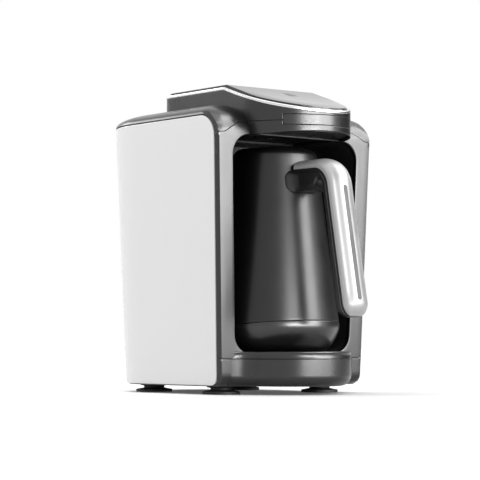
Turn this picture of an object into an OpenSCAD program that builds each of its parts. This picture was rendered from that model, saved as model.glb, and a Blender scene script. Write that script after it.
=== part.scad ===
// Electric Turkish coffee maker: a rounded housing with a niche for one long-handled pot.
// Z is up from the table, -Y is the front, and the origin lies under the middle of the whole object.

/* [Body] */
// Width of the housing at its shoulders
body_w = 168; // [150:1:190]
// How far behind the front face the rounded back begins
back_mid_y = 126; // [115:1:135]
// Depth of the rounded back at the shoulders
back_bulge = 79.5; // [70:0.5:86]
// Height of the side panels' top edge above the table
shoulder_z = 234; // [232:1:238]
// Height of the crown's highest level, beside the head
crown_z = 247.2; // [245:0.5:252]
// Height of the housing's flat underside above the table
floor_z = 7; // [6:0.5:9]
// Radius of the front face's rounded lower edge
foot_roll_r = 9; // [8:1:16]
// Chamfer along the sides' and the back's lower edge
foot_chamfer = 2; // [1:0.5:3]
// How much the front corners soften where the face rolls back
corner_soften = 0.35; // [0:0.05:0.5]
// Lean of the sides, in degrees from upright
side_draft = 1.93; // [1:0.1:2.5]
// Lean of the front face, in degrees from upright
front_draft = 1.53; // [1:0.1:2]
// Lean of the back, in degrees from upright
back_draft = 3.9; // [2:0.1:4.5]
// Radius of the upright front corners
corner_r = 2; // [1.5:0.5:5]
// Thickness of the moulded walls
wall = 2.5; // [2:0.1:3]

/* [Panels and seams] */
// Thickness of the clip-on side panels and of the rear strip
panel_t = 2.4; // [1.8:0.1:3]
// Distance from the front face to the panels' front edge
panel_front = 6.5; // [5.5:0.5:9]
// Radius of a panel's upper front corner
panel_top_r = 18; // [12:1:24]
// Radius of a panel's lower front corner
panel_foot_r = 8; // [6:1:16]
// Height of the panels' lower edge above the housing's underside
panel_foot_h = 0.5; // [0.3:0.1:3]
// Open groove between a panel and the housing
groove = 0.8; // [0.4:0.1:1.2]
// Half the width of the rear strip between the two panels
rear_half_w = 32; // [26:1:40]
// Gap at a moulded seam
seam_gap = 0.3; // [0.1:0.1:0.5]
// Clearance between pieces that seat in each other
fit_gap = 0.2; // [0.1:0.05:0.3]
// Depth of the front frame, from its face to its back
frame_d = 4.4; // [4:0.2:5]
// Height of the seam between the front frame and the base
base_seam_z = 30; // [27:0.5:32]
// Radius of the hollow corners between the face and the round base
nose_fillet_r = 8; // [3:1:10]

/* [Head] */
// Radius of the round nose over the pot
head_r = 51; // [47:0.5:53]
// Distance from the front face back to the nose's centre
head_centre_y = 8; // [4:1:14]
// Distance from the front face to the head's back wall
head_back_y = 128; // [115:1:140]
// Radius of the head's two back corners
head_corner_r = 14; // [5:1:14]
// Height of the head's flat top, under its rim
head_top_z = 258; // [255:0.5:262]
// Distance behind the front face at which the top starts to slope down
brow_y = 36; // [28:1:44]
// Steepness of the slope where it starts
brow_slope = 0.35; // [0.3:0.01:0.38]
// How quickly the slope flattens towards the nose
brow_curve = 0.00074; // [0.0005:0.00001:0.0009]
// Height of the bright rim
rim_h = 3.6; // [3:0.1:5]
// Width of the bright rim, seen from above
rim_w = 3; // [2.4:0.1:4]
// How far the touch plate stands over the rim
plate_proud = 1.2; // [0.2:0.1:1.6]
// Height of the seam between the head's skirt and the top cover
head_seam_z = 228; // [226:0.5:229]
// Height of the head's lower edge at its sides
head_lip_z = 216.6; // [214:0.2:218]
// Rise of the head's lower edge at the middle
head_lip_rise = 3; // [1:0.5:4]
// Width of the blank badge on the nose, along its curve's chord
badge_w = 74; // [60:1:84]
// Height of the badge's lower edge
badge_z = 224.3; // [222:0.1:226]
// Height of the badge
badge_h = 8.8; // [7:0.1:9.4]
// Depth of the badge's recess
badge_d = 1.2; // [0.8:0.1:1.6]

/* [Niche] */
// Width of the niche's opening near its top
niche_w = 134.8; // [128:0.2:138]
// Lean of the opening's sides, in degrees from upright
niche_draft = 1.95; // [1:0.05:2.2]
// Height of the niche's floor at the front frame
niche_floor_z = 35.3; // [34:0.1:36]
// Height of the niche's ceiling
niche_top_z = 217; // [215:0.5:218]
// Radius of the opening's lower corners
niche_foot_r = 15; // [10:1:20]
// Radius of the opening's upper corners
niche_top_r = 17; // [10:1:22]
// Thickness of the black liner
liner_t = 2; // [1.6:0.1:2.4]
// Height of the round stand that carries the pot
stand_z = 36; // [35.6:0.1:37]
// Thickness of the stand
stand_t = 4; // [3:0.1:4.4]

/* [Pot] */
// Distance from the front face back to the pot's axis
pot_axis_y = 30; // [28:0.5:33]
// Largest outer radius of the pot, at its seam
pot_r = 55.5; // [50:0.5:57]
// Outer radius of the pot under its rolled shoulder
pot_neck_r = 36.5; // [33:0.5:40]
// Outer radius of the pot's underside
pot_foot_r = 42; // [40:0.5:46]
// Height of the pot above its stand
pot_h = 173; // [165:1:175]
// Height of the pot's seam above its stand
pot_seam_h = 21.5; // [20:0.5:28]
// Lean of the pot's seam, in degrees, rising towards the handle
pot_seam_tilt = 4.6; // [0:0.1:5]
// Radius of the rolled shoulder round the mouth
pot_roll_r = 8; // [6:0.5:9]
// Thickness of the pot's metal wall
pot_wall = 1.4; // [1:0.1:2]
// Height of the pot's inner floor above its stand
pot_floor_h = 31; // [29:0.5:34]
// Running gap under the pot while it stands in the niche
pot_gap = 0.2; // [0.15:0.05:0.4]

/* [Handle] */
// Height of the handle's flat top above the table
handle_top_z = 197; // [190:1:199]
// Radius of the handle's bend, at its outer face
handle_bend_r = 26.4; // [22:0.2:32]
// Distance from the pot's axis to the start of the bend
handle_bend_y = 66.6; // [62:0.1:70]
// Length of the straight grip, from the bend to the tip's rounding
grip_len = 101; // [90:1:108]
// Lean of the grip, in degrees from upright
grip_lean = 11; // [8:0.5:16]
// Width of the handle
handle_w = 24; // [20:0.5:28]
// Depth of the bright cover at the handle's sides
cover_d = 8; // [7:0.1:9]
// How far the cover's side edges lie behind its middle
cover_crown = 4.5; // [3:0.1:5]
// Width of the dark inlay along the grip
inlay_w = 2.8; // [1.8:0.1:3.4]
// Length of the dark inlay
inlay_len = 97; // [80:1:99]

/* [Contacts] */
// Radius of a sprung contact pin
pin_r = 2; // [1.6:0.1:2.4]
// Spacing of the three contact pins
pin_pitch = 9; // [8:0.5:11]
// Radial running clearance of a contact pin
pin_clear = 0.06; // [0.03:0.01:0.1]
// Travel of a contact pin
pin_travel = 1.5; // [1:0.1:2]
// Radius of the block that holds the pins
block_r = 17; // [16:0.5:20]

/* [Feet] */
// Radius of a rubber foot where it meets the table
foot_r = 16; // [12:0.5:18]
// Distance of the feet from the middle plane
foot_x = 54; // [48:1:56]
// Half the distance between the rear feet
foot_rear_x = 49; // [44:1:54]
// Distance of the front feet behind the front face
foot_front_y = 35; // [32:1:45]
// Distance of the rear feet behind the front face
foot_rear_y = 139.5; // [126:0.5:142]

/* [Hidden] */
$fn = 64;

// Colours of the real finishes
gunmetal = "#6d6e70";
white_gloss = "#e6e6e6";
black_gloss = "#141414";
bright_metal = "#e9e9e9";

// Height at which the front face stands on the reference plane, and starts to roll back above
face_ref_z = niche_top_z;
roll_len = 60;
crown_len = 60;
crown_h = crown_z - shoulder_z;
back_steps = 20;
corner_steps = 3;
far = 400;

// The grip's lower end is the object's front, and the shoulders' back is its rear
grip_front_y = pot_axis_y - handle_bend_y - handle_bend_r*cos(grip_lean) - grip_len*sin(grip_lean);
front_y = -(back_mid_y + back_bulge + grip_front_y)/2;
pot_z = stand_z + pot_gap;

// ---------- placing and sweeping ----------
// Moves what is measured from the front face to its place in the object
module on_face() translate([0, front_y, 0]) children();
module on_pot() translate([0, front_y + pot_axis_y, 0]) children();
// Extrudes an outline drawn as (y, z) along X, and one drawn as (x, z) along Y
module along_x(x0, x1) translate([x0, 0, 0]) rotate([90, 0, 90]) linear_extrude(x1 - x0) children();
module along_y(y0, y1) translate([0, y1, 0]) rotate([90, 0, 0]) linear_extrude(y1 - y0) children();
// A slab between two planes parallel to the leaning front face
module face_slab(y0, y1)
    translate([0, 0, face_ref_z]) rotate([front_draft, 0, 0])
        translate([-far/2, y0, -far]) cube([far, y1 - y0, 2*far]);
module above(z) translate([-far/2, -far/2, z]) cube([far, far, far]);
module below(z) translate([-far/2, -far/2, z - far]) cube([far, far, far]);
function arc(cx, cy, r, a0, a1, n) = [for (i = [0:n]) let(a = a0 + (a1 - a0)*i/n)
    [cx + r*cos(a), cy + r*sin(a)]];

// A solid through a stack of closed rings that all have the same number of points
module loft(rings) {
    n = len(rings[0]);
    last = len(rings) - 1;
    sides = [for (k = [0:last - 1]) for (i = [0:n - 1]) let(j = (i + 1) % n)
        [k*n + i, (k + 1)*n + i, (k + 1)*n + j, k*n + j]];
    caps = [[for (i = [0:n - 1]) i], [for (i = [n - 1:-1:0]) last*n + i]];
    polyhedron([for (ring = rings) for (p = ring) p], concat(sides, caps), convexity = 6);
}

// ---------- the housing's outer form ----------
function half_w(z) = body_w/2 - (shoulder_z - z)*tan(side_draft);
function face_y(z) = (face_ref_z - z)*tan(front_draft);
function back_r(z) = back_bulge - (shoulder_z - z)*tan(back_draft);
// How far the front has rolled back at a height above the reference plane
function roll_in(z) = z <= face_ref_z ? 0 :
    roll_len*(1 - sqrt(1 - pow((z - face_ref_z)/(crown_z - face_ref_z), 2)));
// One level of the D-shaped plan: v is [height, drawn in at the sides, drawn in at the front, softened by]
function body_ring(v, steps = back_steps) = let(
        hw = half_w(v[0]) - v[1],
        yf = face_y(v[0]) + v[2],
        rc = max(corner_r - v[1], 1) + v[3]*corner_soften,
        flat = concat(
            arc(-hw + rc, yf + rc, rc, 180, 270, corner_steps),
            arc(hw - rc, yf + rc, rc, 270, 360, corner_steps)),
        round = [for (i = [0:steps]) let(a = 180*i/steps)
            [hw*cos(a), back_mid_y + (back_r(v[0]) - v[1])*sin(a)]])
    [for (p = concat(flat, round)) [p.x, p.y, v[0]]];
// Levels of a skin that lies t inside the outer one, from the foot up
function foot_levels(t) = [for (a = [0:30:90]) let(roll = (foot_roll_r - t)*(1 - sin(a)))
    [floor_z + foot_roll_r - (foot_roll_r - t)*cos(a), t + (a == 0 ? foot_chamfer : 0), t + roll, roll]];
function roll_levels(t) = [for (z = [face_ref_z, face_ref_z + 7, face_ref_z + 12, shoulder_z])
    [z - t, t, roll_in(z) + t, roll_in(z)]];
function open_top(t) = [[shoulder_z + 30, t, roll_in(shoulder_z) + t, roll_in(shoulder_z)]];
function crown_levels(t) = [for (a = [15:15:75]) let(z = shoulder_z + crown_h*sin(a))
    [z - t, crown_len*(1 - cos(a)) + t, roll_in(z) + t, roll_in(z)*(1 - sin(a))]];
module level_loft(levels, steps = back_steps) loft([for (v = levels) body_ring(v, steps)]);
// The skin from the foot to past the shoulders, the same with walls that run straight down past
// the foot, and the skin of the shoulders and the crown
module side_skin(t, steps = back_steps)
    level_loft(concat(foot_levels(t), roll_levels(t), open_top(t)), steps);
module wall_skin(t, steps = back_steps)
    level_loft(concat([[floor_z - 5, t, t, 0]], roll_levels(t), open_top(t)), steps);
module crown_skin(t) level_loft(concat([[face_ref_z - 20, t, t, 0]], roll_levels(t), crown_levels(t)));
// The hollow of the housing, open at the front and at the top
module hollow(t)
    level_loft([for (v = concat(foot_levels(t), [[shoulder_z + 30, t]])) [v[0], v[1], -far/8, 0]]);
// Everything that lies more than t behind the rolled front face
module behind_face(t) loft([for (v = concat(foot_levels(t), roll_levels(t), open_top(t)))
    let(yf = face_y(v[0]) + v[2])
    [[-far, yf, v[0]], [far, yf, v[0]], [far, far, v[0]], [-far, far, v[0]]]]);
// The pieces of the front lie before this boundary, and the housing behind it
front_foot_y = 25;
cheek_depth = 7;
module front_zone() difference() {
    translate([-far/2, -far/2, 0]) cube([far, far/2 + front_foot_y, far]);
    behind_face(frame_d);
}
module rear_zone() {
    behind_face(frame_d + seam_gap);
    translate([-far/2, front_foot_y + seam_gap, 0]) cube([far, far, floor_z + foot_roll_r]);
}

// Side view of a panel, grown by g: its front edge leans with the face
module panel_outline(g) {
    lean = tan(front_draft);
    top = shoulder_z - groove + g;
    foot = floor_z + panel_foot_h - g;
    edge_top = panel_front - g + face_y(top - panel_top_r);
    edge_foot = panel_front - g + face_y(foot + panel_foot_r);
    rt = panel_top_r + g;
    rf = panel_foot_r + g;
    polygon(concat(
        arc(edge_foot + rf, foot + rf, rf, 270, 180, 6),
        arc(edge_top + rt, top - rt, rt, 180, 90, 6),
        [[far, top], [far, foot]]));
}
// The pocket that a panel lies in, cut to the depth of the panel and its seam
module panel_pocket(steps = back_steps) difference() {
    along_x(-far/2, far/2) panel_outline(groove);
    wall_skin(panel_t + seam_gap, steps);
}
// The front frame's upper seam climbs from the corners to the head
module seam_outline(g) {
    rise = [[body_w/2 - 0.6, face_ref_z - 0.1], [70.2, face_ref_z + 5.1], [64, face_ref_z + 8.4],
        [55.6, head_seam_z - 0.2], [head_r, head_seam_z]];
    polygon(concat([[far, 0], [far, face_ref_z - 0.1 + g]], [for (p = rise) [p.x, p.y + g]],
        [for (i = [len(rise) - 1:-1:0]) [-rise[i].x, rise[i].y + g]],
        [[-far, face_ref_z - 0.1 + g], [-far, 0]]));
}
// The strip in front of the panels' corners, above the frame's seam
module cheek_zone() intersection() {
    face_slab(-far, panel_front + panel_top_r);
    difference() {
        above(face_ref_z + seam_gap/2);
        along_y(-far/2, frame_d + cheek_depth) seam_outline(seam_gap/2);
    }
}

// ---------- the head ----------
// Height of the head wall's upper edge
function brow(y) = let(s = max(brow_y - y, 0)) head_top_z - brow_slope*s + brow_curve*s*s;
// Plan of the head, drawn in by t
module head_plan(t) {
    r = head_r - t;
    rc = max(head_corner_r - t, 1);
    polygon(concat(
        arc(0, head_centre_y, r, 180, 360, 32),
        arc(r - rc, head_back_y - t - rc, rc, 0, 90, 4),
        arc(-r + rc, head_back_y - t - rc, rc, 90, 180, 4)));
}
// A layer that follows the top's slope, between two heights over the wall's edge
module brow_layer(a, b) along_x(-far/4, far/4) {
    front = head_centre_y - head_r - 4;
    steps = 12;
    slope = [for (i = [0:steps]) front + (brow_y - front)*i/steps];
    polygon(concat(
        [for (y = slope) [y, brow(y) + b]], [[head_back_y + 4, head_top_z + b]],
        [[head_back_y + 4, head_top_z + a]], [for (i = [steps:-1:0]) [slope[i], brow(slope[i]) + a]]));
}
module head_layer(t, a, b) intersection() {
    translate([0, 0, floor_z]) linear_extrude(far) head_plan(t);
    brow_layer(a, b);
}
module head_column(t, z0, z1) translate([0, 0, z0]) linear_extrude(z1 - z0) head_plan(t);
// The round stand and the round ceiling share one plan: a nose like the head's, run back under the pot
module nose_plan(t) {
    r = head_r - t;
    back = pot_axis_y + 36 - t;
    polygon(concat(arc(0, head_centre_y, r, 180, 360, 32), [[r, back], [-r, back]]));
}

// ---------- the niche ----------
function niche_half(z) = niche_w/2 - (200 - z)*tan(niche_draft);
// Front view of the niche's opening, grown by g
module niche_outline(g) {
    z0 = niche_floor_z - g;
    z1 = niche_top_z + g;
    r0 = niche_foot_r + g;
    r1 = niche_top_r + g;
    x0 = niche_half(z0 + r0) + g;
    x1 = niche_half(z1 - r1) + g;
    polygon(concat(
        arc(x0 - r0, z0 + r0, r0, 270, 360, 6), arc(x1 - r1, z1 - r1, r1, 0, 90, 6),
        arc(-x1 + r1, z1 - r1, r1, 90, 180, 6), arc(-x0 + r0, z0 + r0, r0, 180, 270, 6)));
}
niche_r = niche_half(niche_top_z) - 1.5;
module niche_void(g) intersection() {
    along_y(-far/2, far/2) niche_outline(g);
    linear_extrude(far) {
        translate([0, pot_axis_y]) circle(niche_r + g, $fn = 96);
        translate([-far/2, -far/2]) square([far, far/2 + pot_axis_y]);
    }
}

// ---------- housing pieces ----------
module housing_shell() difference() {
    intersection() {
        side_skin(0);
        below(shoulder_z - seam_gap/2);
        rear_zone();
    }
    hollow(panel_t + seam_gap + wall);
    panel_pocket();
    cheek_zone();
    // the underside's opening and the step that the base plate lies in
    base_outline(base_plate_in + base_ledge, floor_z - 1, floor_z + 12);
    base_outline(base_plate_in - fit_gap, floor_z - 1, base_plate_top + fit_gap/2);
    translate([0, back_mid_y, gland_z]) rotate([-90, 0, 0]) cylinder(h = far, r = gland_bore_r + 0.3);
    // the seat of the contact block
    translate([0, pot_axis_y, base_plate_top]) cylinder(h = 30, r = block_r + fit_gap);
}
// Bosses that the base plate's screws run up into
boss_r = 3.8;
boss_h = 11;
module main_housing() color(gunmetal) on_face() difference() {
    union() {
        housing_shell();
        for (p = base_screw_places) translate([p.x, p.y, base_plate_top + fit_gap])
            cylinder(h = boss_h, r = boss_r);
    }
    for (p = base_screw_places) translate([p.x, p.y, 0])
        cylinder(h = base_plate_top + boss_h - 1, r = screw_r - 0.2);
}
base_plate_in = panel_t + wall + 2.3;
base_plate_t = 3.2;
base_plate_top = floor_z + base_plate_t;
base_ledge = 9;
screw_r = 1.5;
screw_head_r = 3;
screw_head_t = 1.7;
screw_len = 9;
screw_in = base_plate_in + boss_r + 0.7;
side_screw_x = half_w(floor_z) - screw_in;
base_screw_half = [[side_screw_x, back_mid_y - 56], [side_screw_x, back_mid_y - 8],
    [side_screw_x/2, back_mid_y + (back_r(floor_z) - screw_in)*sin(60)]];
base_screw_places = [for (sx = [-1, 1]) for (p = base_screw_half) [sx*p.x, p.y]];
// The housing's flat underside, drawn in from its outer skin
module base_outline(in, z0, z1) intersection() {
    loft([for (z = [z0, z1]) [for (p = body_ring([floor_z, in, in, 0])) [p.x, p.y, z]]]);
    translate([-far/2, front_foot_y + in - base_plate_in + 2, z0 - 1]) cube([far, far, z1 - z0 + 2]);
}
module base_plate() color("#232323") on_face() difference() {
    base_outline(base_plate_in, floor_z, base_plate_top);
    for (p = base_screw_places) translate([p.x, p.y, 0]) {
        cylinder(h = 30, r = screw_r + 0.2);
        cylinder(h = floor_z + screw_head_t + 0.3, r = screw_head_r + 0.3);
    }
    for (p = foot_places) translate([p.x, p.y, 0]) cylinder(h = 30, r = stud_r + 0.05);
}
module base_screws() color("silver") on_face() for (p = base_screw_places) translate([p.x, p.y, 0]) {
    translate([0, 0, floor_z + 0.3]) cylinder(h = screw_head_t, r = screw_head_r);
    translate([0, 0, floor_z + screw_head_t + 0.2]) cylinder(h = screw_len, r = screw_r - 0.25);
}

module panel(side) intersection() {
    difference() {
        side_skin(0);
        wall_skin(panel_t);
    }
    along_x(side > 0 ? rear_half_w + seam_gap : -far/2, side > 0 ? far/2 : -rear_half_w - seam_gap)
        panel_outline(0);
}
module side_panel_left() color(white_gloss) on_face() panel(-1);
module side_panel_right() color(white_gloss) on_face() panel(1);
// The cord's gland: its height, the radius of its body and of its bore
gland_z = 30;
gland_r = 6;
gland_bore_r = 3.2;
gland_lip = 2;
module rear_strip() color(gunmetal) on_face() difference() {
    intersection() {
        difference() {
            side_skin(0);
            wall_skin(panel_t);
        }
        along_x(-rear_half_w + seam_gap, rear_half_w - seam_gap) panel_outline(0);
        translate([-far/2, back_mid_y, 0]) cube(far);
    }
    translate([0, back_mid_y, gland_z]) rotate([-90, 0, 0]) cylinder(h = far, r = gland_r + fit_gap);
}
module cord_gland() color("#1c1c1c") on_face() difference() {
    y = back_mid_y + back_r(gland_z);
    translate([0, y, gland_z]) rotate([90, 0, 0]) {
        translate([0, 0, -1]) cylinder(h = 3, r = gland_r);
        translate([0, 0, -2]) cylinder(h = 1.4, r = gland_r + gland_lip);
    }
    translate([0, y + 4, gland_z]) rotate([90, 0, 0]) cylinder(h = 20, r = gland_bore_r);
}

// The frame: a face with returns at its rim and round the niche, the head's skirt and the stand's band
module front_frame() color(gunmetal) on_face() difference() {
    union() {
        intersection() {
            side_skin(0, 2);
            front_zone();
            above(base_seam_z + seam_gap/2);
            along_y(-far/2, far/2) seam_outline(-seam_gap/2);
        }
        intersection() {
            head_column(0, head_lip_z - 6, head_seam_z - seam_gap/2);
            face_slab(-far, frame_d);
        }
        intersection() {
            union() {
                translate([0, head_centre_y, base_seam_z + seam_gap/2])
                    cylinder(h = stand_z - base_seam_z - seam_gap/2, r = head_r, $fn = 128);
                nose_corners(base_seam_z + seam_gap/2, niche_floor_z);
            }
            face_slab(-far, frame_d);
        }
    }
    // the niche and what hangs over it
    difference() {
        along_y(-far/2, far/2) niche_outline(0);
        translate([0, head_centre_y, 0]) cylinder(h = stand_z, r = head_r, $fn = 128);
        above(head_lip_z - 6);
    }
    difference() {
        along_y(-far/2, far/2) niche_outline(0);
        below(head_lip_z - 8);
        head_column(0, 0, far);
    }
    head_column(wall, head_lip_z - 8, head_seam_z + 2);
    intersection() {
        translate([0, 0, lip_arch_z]) rotate([90, 0, 0])
            cylinder(h = far, r = lip_arch_r, center = true, $fn = 256);
        head_column(-1, head_lip_z - 8, head_seam_z);
    }
    badge_block(0);
    // the bore that the stand fills, over a ledge that it rests on
    translate([0, head_centre_y, base_seam_z + stand_ledge_t])
        cylinder(h = 20, r = head_r - wall, $fn = 128);
    translate([0, head_centre_y, base_seam_z - 2])
        cylinder(h = 20, r = head_r - wall - stand_ledge, $fn = 128);
    // the hollow behind the face
    intersection() {
        side_skin(wall, 2);
        behind_face(wall);
        above(base_seam_z + wall);
        along_y(-far/2, far/2) difference() {
            seam_outline(-wall);
            niche_outline(wall);
            translate([-head_r - wall, 0]) square([2*head_r + 2*wall, far]);
        }
    }
}
stand_ledge = 4;
stand_ledge_t = 1.8;
// The head's lower edge is an arch across the nose
lip_arch_r = (head_r*head_r + head_lip_rise*head_lip_rise)/(2*head_lip_rise);
lip_arch_z = head_lip_z + head_lip_rise - lip_arch_r;

module top_cover() color(gunmetal) on_face() difference() {
    union() {
        difference() {
            intersection() {
                crown_skin(0);
                union() {
                    above(shoulder_z + seam_gap/2);
                    cheek_zone();
                }
            }
            crown_skin(wall);
            along_x(-far/2, far/2) panel_outline(groove);
        }
        intersection() {
            head_column(0, head_seam_z + seam_gap/2, far);
            brow_layer(-far/8, 0);
        }
    }
    head_column(wall, 0, far);
    badge_block(0);
}
// Space of the blank badge, let into the nose
module badge_block(g) intersection() {
    difference() {
        head_column(-1, badge_z + g, badge_z + badge_h - g);
        head_column(badge_d, badge_z - 1, badge_z + badge_h + 1);
    }
    along_y(-far/4, 0) translate([-badge_w/2 + g, badge_z]) square([badge_w - 2*g, badge_h]);
}
module badge_plate() color("#a8a8a8") on_face() intersection() {
    badge_block(fit_gap);
    head_column(0.2, 0, far);
}

module head_rim() color(bright_metal) on_face() {
    difference() {
        head_layer(-0.3, 0.1, rim_h);
        head_column(rim_w, 0, far);
    }
    difference() {
        head_layer(rim_w - 0.1, 0.1, rim_lip_t);
        head_column(rim_w + rim_lip, 0, far);
    }
}
// The lip inside the rim that the plate rests on
rim_lip = 4;
rim_lip_t = 1.4;
plate_seat = 1.5;
module control_plate() color(black_gloss) on_face() head_layer(rim_w + fit_gap, plate_seat,
    rim_h + plate_proud);
touch_board_w = 60;
touch_board_l = 66;
module touch_board() color("#1d5c34") on_face() intersection() {
    head_layer(rim_w + rim_lip + 0.4, 0.1, rim_lip_t);
    translate([-touch_board_w/2, -34, 0]) cube([touch_board_w, touch_board_l, far]);
}

// ---------- base, stand and niche ----------
module base_front() color(gunmetal) on_face() difference() {
    union() {
        intersection() {
            side_skin(0, 2);
            below(base_seam_z - seam_gap/2);
            front_zone();
        }
        intersection() {
            union() {
                bulge(0);
                nose_corners(floor_z + foot_roll_r, base_seam_z - seam_gap/2);
            }
            front_zone();
        }
    }
    bulge(wall);
    panel_pocket(2);
    intersection() {
        side_skin(wall, 2);
        behind_face(wall);
    }
}
// The hollow corners where the round nose meets the face
module nose_corners(z0, z1) {
    yf = face_y(base_seam_z);
    xf = sqrt(pow(head_r + nose_fillet_r, 2) - pow(head_centre_y + nose_fillet_r - yf, 2));
    translate([0, 0, z0]) linear_extrude(z1 - z0) for (s = [-1, 1]) difference() {
        translate([s > 0 ? head_r - wall : -xf, yf - nose_fillet_r])
            square([xf - head_r + wall, nose_fillet_r + 2]);
        translate([s*xf, yf - nose_fillet_r]) circle(nose_fillet_r, $fn = 64);
    }
}
// The round nose of the base, with its rounded lower edge
module bulge(t) translate([0, head_centre_y, 0]) rotate_extrude($fn = 128) {
    r = head_r - t;
    e = foot_roll_r - t;
    z0 = floor_z + t;
    top = t > 0 ? base_seam_z + 1 : base_seam_z - seam_gap/2;
    difference() {
        translate([0, z0]) square([r, top - z0]);
        translate([r - e, z0]) difference() {
            square([e + 1, e]);
            translate([0, e]) circle(e);
        }
    }
}
module pot_stand() color("#2b2b2b") on_face() difference() {
    translate([0, 0, stand_z - stand_t]) linear_extrude(stand_t) nose_plan(wall + 0.4);
    for (x = pin_xs) translate([x, pot_axis_y, 0]) cylinder(h = stand_z + 1, r = pin_r + 0.5, $fn = 32);
}
module niche_liner() color(black_gloss) on_face() difference() {
    union() {
        intersection() {
            niche_void(liner_t);
            behind_face(frame_d + 0.1);
        }
        intersection() {
            along_y(-far/8, far/8) niche_outline(5);
            difference() {
                behind_face(frame_d + 0.1);
                behind_face(frame_d + 1.8);
            }
        }
        for (p = board_posts) translate([p.x, post_root_y, p.y]) rotate([-90, 0, 0])
            cylinder(h = board_y - post_root_y - 0.1, r = 4);
    }
    niche_void(0);
    translate([0, 0, niche_floor_z - 9]) linear_extrude(15) nose_plan(wall + 0.2);
    translate([0, 0, niche_top_z - 5]) linear_extrude(20) nose_plan(wall + 4);
    translate([0, 0, ceiling_z - 0.1]) linear_extrude(20) nose_plan(wall);
    for (p = board_posts) translate([p.x, post_root_y + 5, p.y]) rotate([-90, 0, 0])
        cylinder(h = 30, r = 1.3);
}
ceiling_z = niche_top_z + liner_t + 0.1;
ceiling_t = 2.4;
ring_groove_w = 1.5;
lens_r = 5;
module brew_ceiling() color("#0e0e0e") on_face() difference() {
    translate([0, 0, ceiling_z]) linear_extrude(ceiling_t) nose_plan(wall + fit_gap);
    translate([0, pot_axis_y, 0]) cylinder(h = far, r = lens_r + 0.1);
    for (r = [20, 30, 40]) translate([0, pot_axis_y - 18, ceiling_z - 1]) difference() {
        cylinder(h = 1.7, r = r);
        translate([0, 0, -1]) cylinder(h = 4, r = r - ring_groove_w);
    }
}
module sensor_lens() color("#40282c") on_face() translate([0, pot_axis_y, ceiling_z]) {
    translate([0, 0, 0.3]) cylinder(h = ceiling_t - 0.2, r = lens_r);
    translate([0, 0, ceiling_t + 0.1]) cylinder(h = 1.2, r = lens_r + 2);
}
module sensor_board() color("#1d5c34") on_face()
    translate([-14, pot_axis_y - 10, ceiling_z + ceiling_t + 1.4]) cube([28, 24, board_t]);

// ---------- electrics behind the niche ----------
board_y = 112;
board_z = 62;
board_w = 90;
board_h = 88;
board_t = 1.6;
post_in = 7;
post_z0 = board_z + post_in + 1;
post_z1 = board_z + board_h - post_in - 1;
post_x = board_w/2 - post_in;
board_posts = [[-post_x, post_z0], [post_x, post_z0], [-post_x, post_z1], [post_x, post_z1]];
post_root_y = pot_axis_y + 56;
// The parts stand on the board's rear side
board_back_y = board_y + board_t + 0.1;
relay_size = [28, 16, 13];
transformer_core = [30, 26, 24];
transformer_coil = [36, 18, 12];
buzzer_r = 6;
buzzer_h = 7;
module power_board() color("#1d5c34") on_face() difference() {
    translate([-board_w/2, board_y, board_z]) cube([board_w, board_t, board_h]);
    for (p = board_posts) translate([p.x, board_y - 2, p.y]) rotate([-90, 0, 0]) cylinder(h = 10, r = 1.7);
}
module board_screws() color("silver") on_face() for (p = board_posts)
    translate([p.x, board_back_y, p.y]) rotate([90, 0, 0]) {
        translate([0, 0, -1.6]) cylinder(h = 1.6, r = 2.8);
        translate([0, 0, -0.1]) cylinder(h = 9, r = 1.2);
    }
module relay() color("#1f2a3a") on_face() translate([-30, board_back_y, 112])
    cube(relay_size);
module transformer() color("#b58a2b") on_face() translate([4, board_back_y, 84]) {
    cube(transformer_core);
    translate([-3, 4, 6]) cube(transformer_coil);
}
module buzzer() color("#161616") on_face() translate([-20, board_back_y, 92]) rotate([-90, 0, 0])
    difference() {
        cylinder(h = buzzer_h, r = buzzer_r);
        translate([0, 0, buzzer_h - 2]) cylinder(h = 3, r = 1.2);
    }

// ---------- sprung contacts under the pot ----------
pin_xs = [-pin_pitch, 0, pin_pitch];
pin_top = stand_z - 0.1;
// A pin's flange under the block's bore, and the chamber with the spring below it
flange_top = stand_z - 10;
flange_t = 1.5;
flange_r = pin_r + 1.1;
chamber_h = 8;
chamber_floor = flange_top - chamber_h;
module contact_block() color("#e8e2d2") on_face() translate([0, pot_axis_y, 0]) difference() {
    translate([0, 0, base_plate_top + 0.1])
        cylinder(h = stand_z - stand_t - base_plate_top - 0.2, r = block_r);
    for (x = pin_xs) translate([x, 0, 0]) {
        translate([0, 0, flange_top]) cylinder(h = 20, r = pin_r + pin_clear);
        translate([0, 0, chamber_floor])
            cylinder(h = flange_top + 0.05 - chamber_floor, r = flange_r + 0.4);
    }
}
module contact_pin(i) color("#c9a24a") on_face() translate([pin_xs[i], pot_axis_y, 0]) {
    translate([0, 0, flange_top - flange_t]) cylinder(h = flange_t, r = flange_r);
    translate([0, 0, flange_top - flange_t]) cylinder(h = pin_top - flange_top + flange_t, r = pin_r);
    translate([0, 0, chamber_floor + pin_travel + 1]) cylinder(h = 6, r = pin_r - 0.8);
}
module contact_spring(i) color("silver") on_face() translate([pin_xs[i], pot_axis_y, chamber_floor + 0.05])
    difference() {
        cylinder(h = flange_top - flange_t - chamber_floor - 0.1, r = flange_r - 0.1);
        translate([0, 0, -1]) cylinder(h = 20, r = flange_r - 0.8);
    }
module contact_pin_left() contact_pin(0);
module contact_pin_middle() contact_pin(1);
module contact_pin_right() contact_pin(2);
module contact_spring_left() contact_spring(0);
module contact_spring_middle() contact_spring(1);
module contact_spring_right() contact_spring(2);

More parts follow.
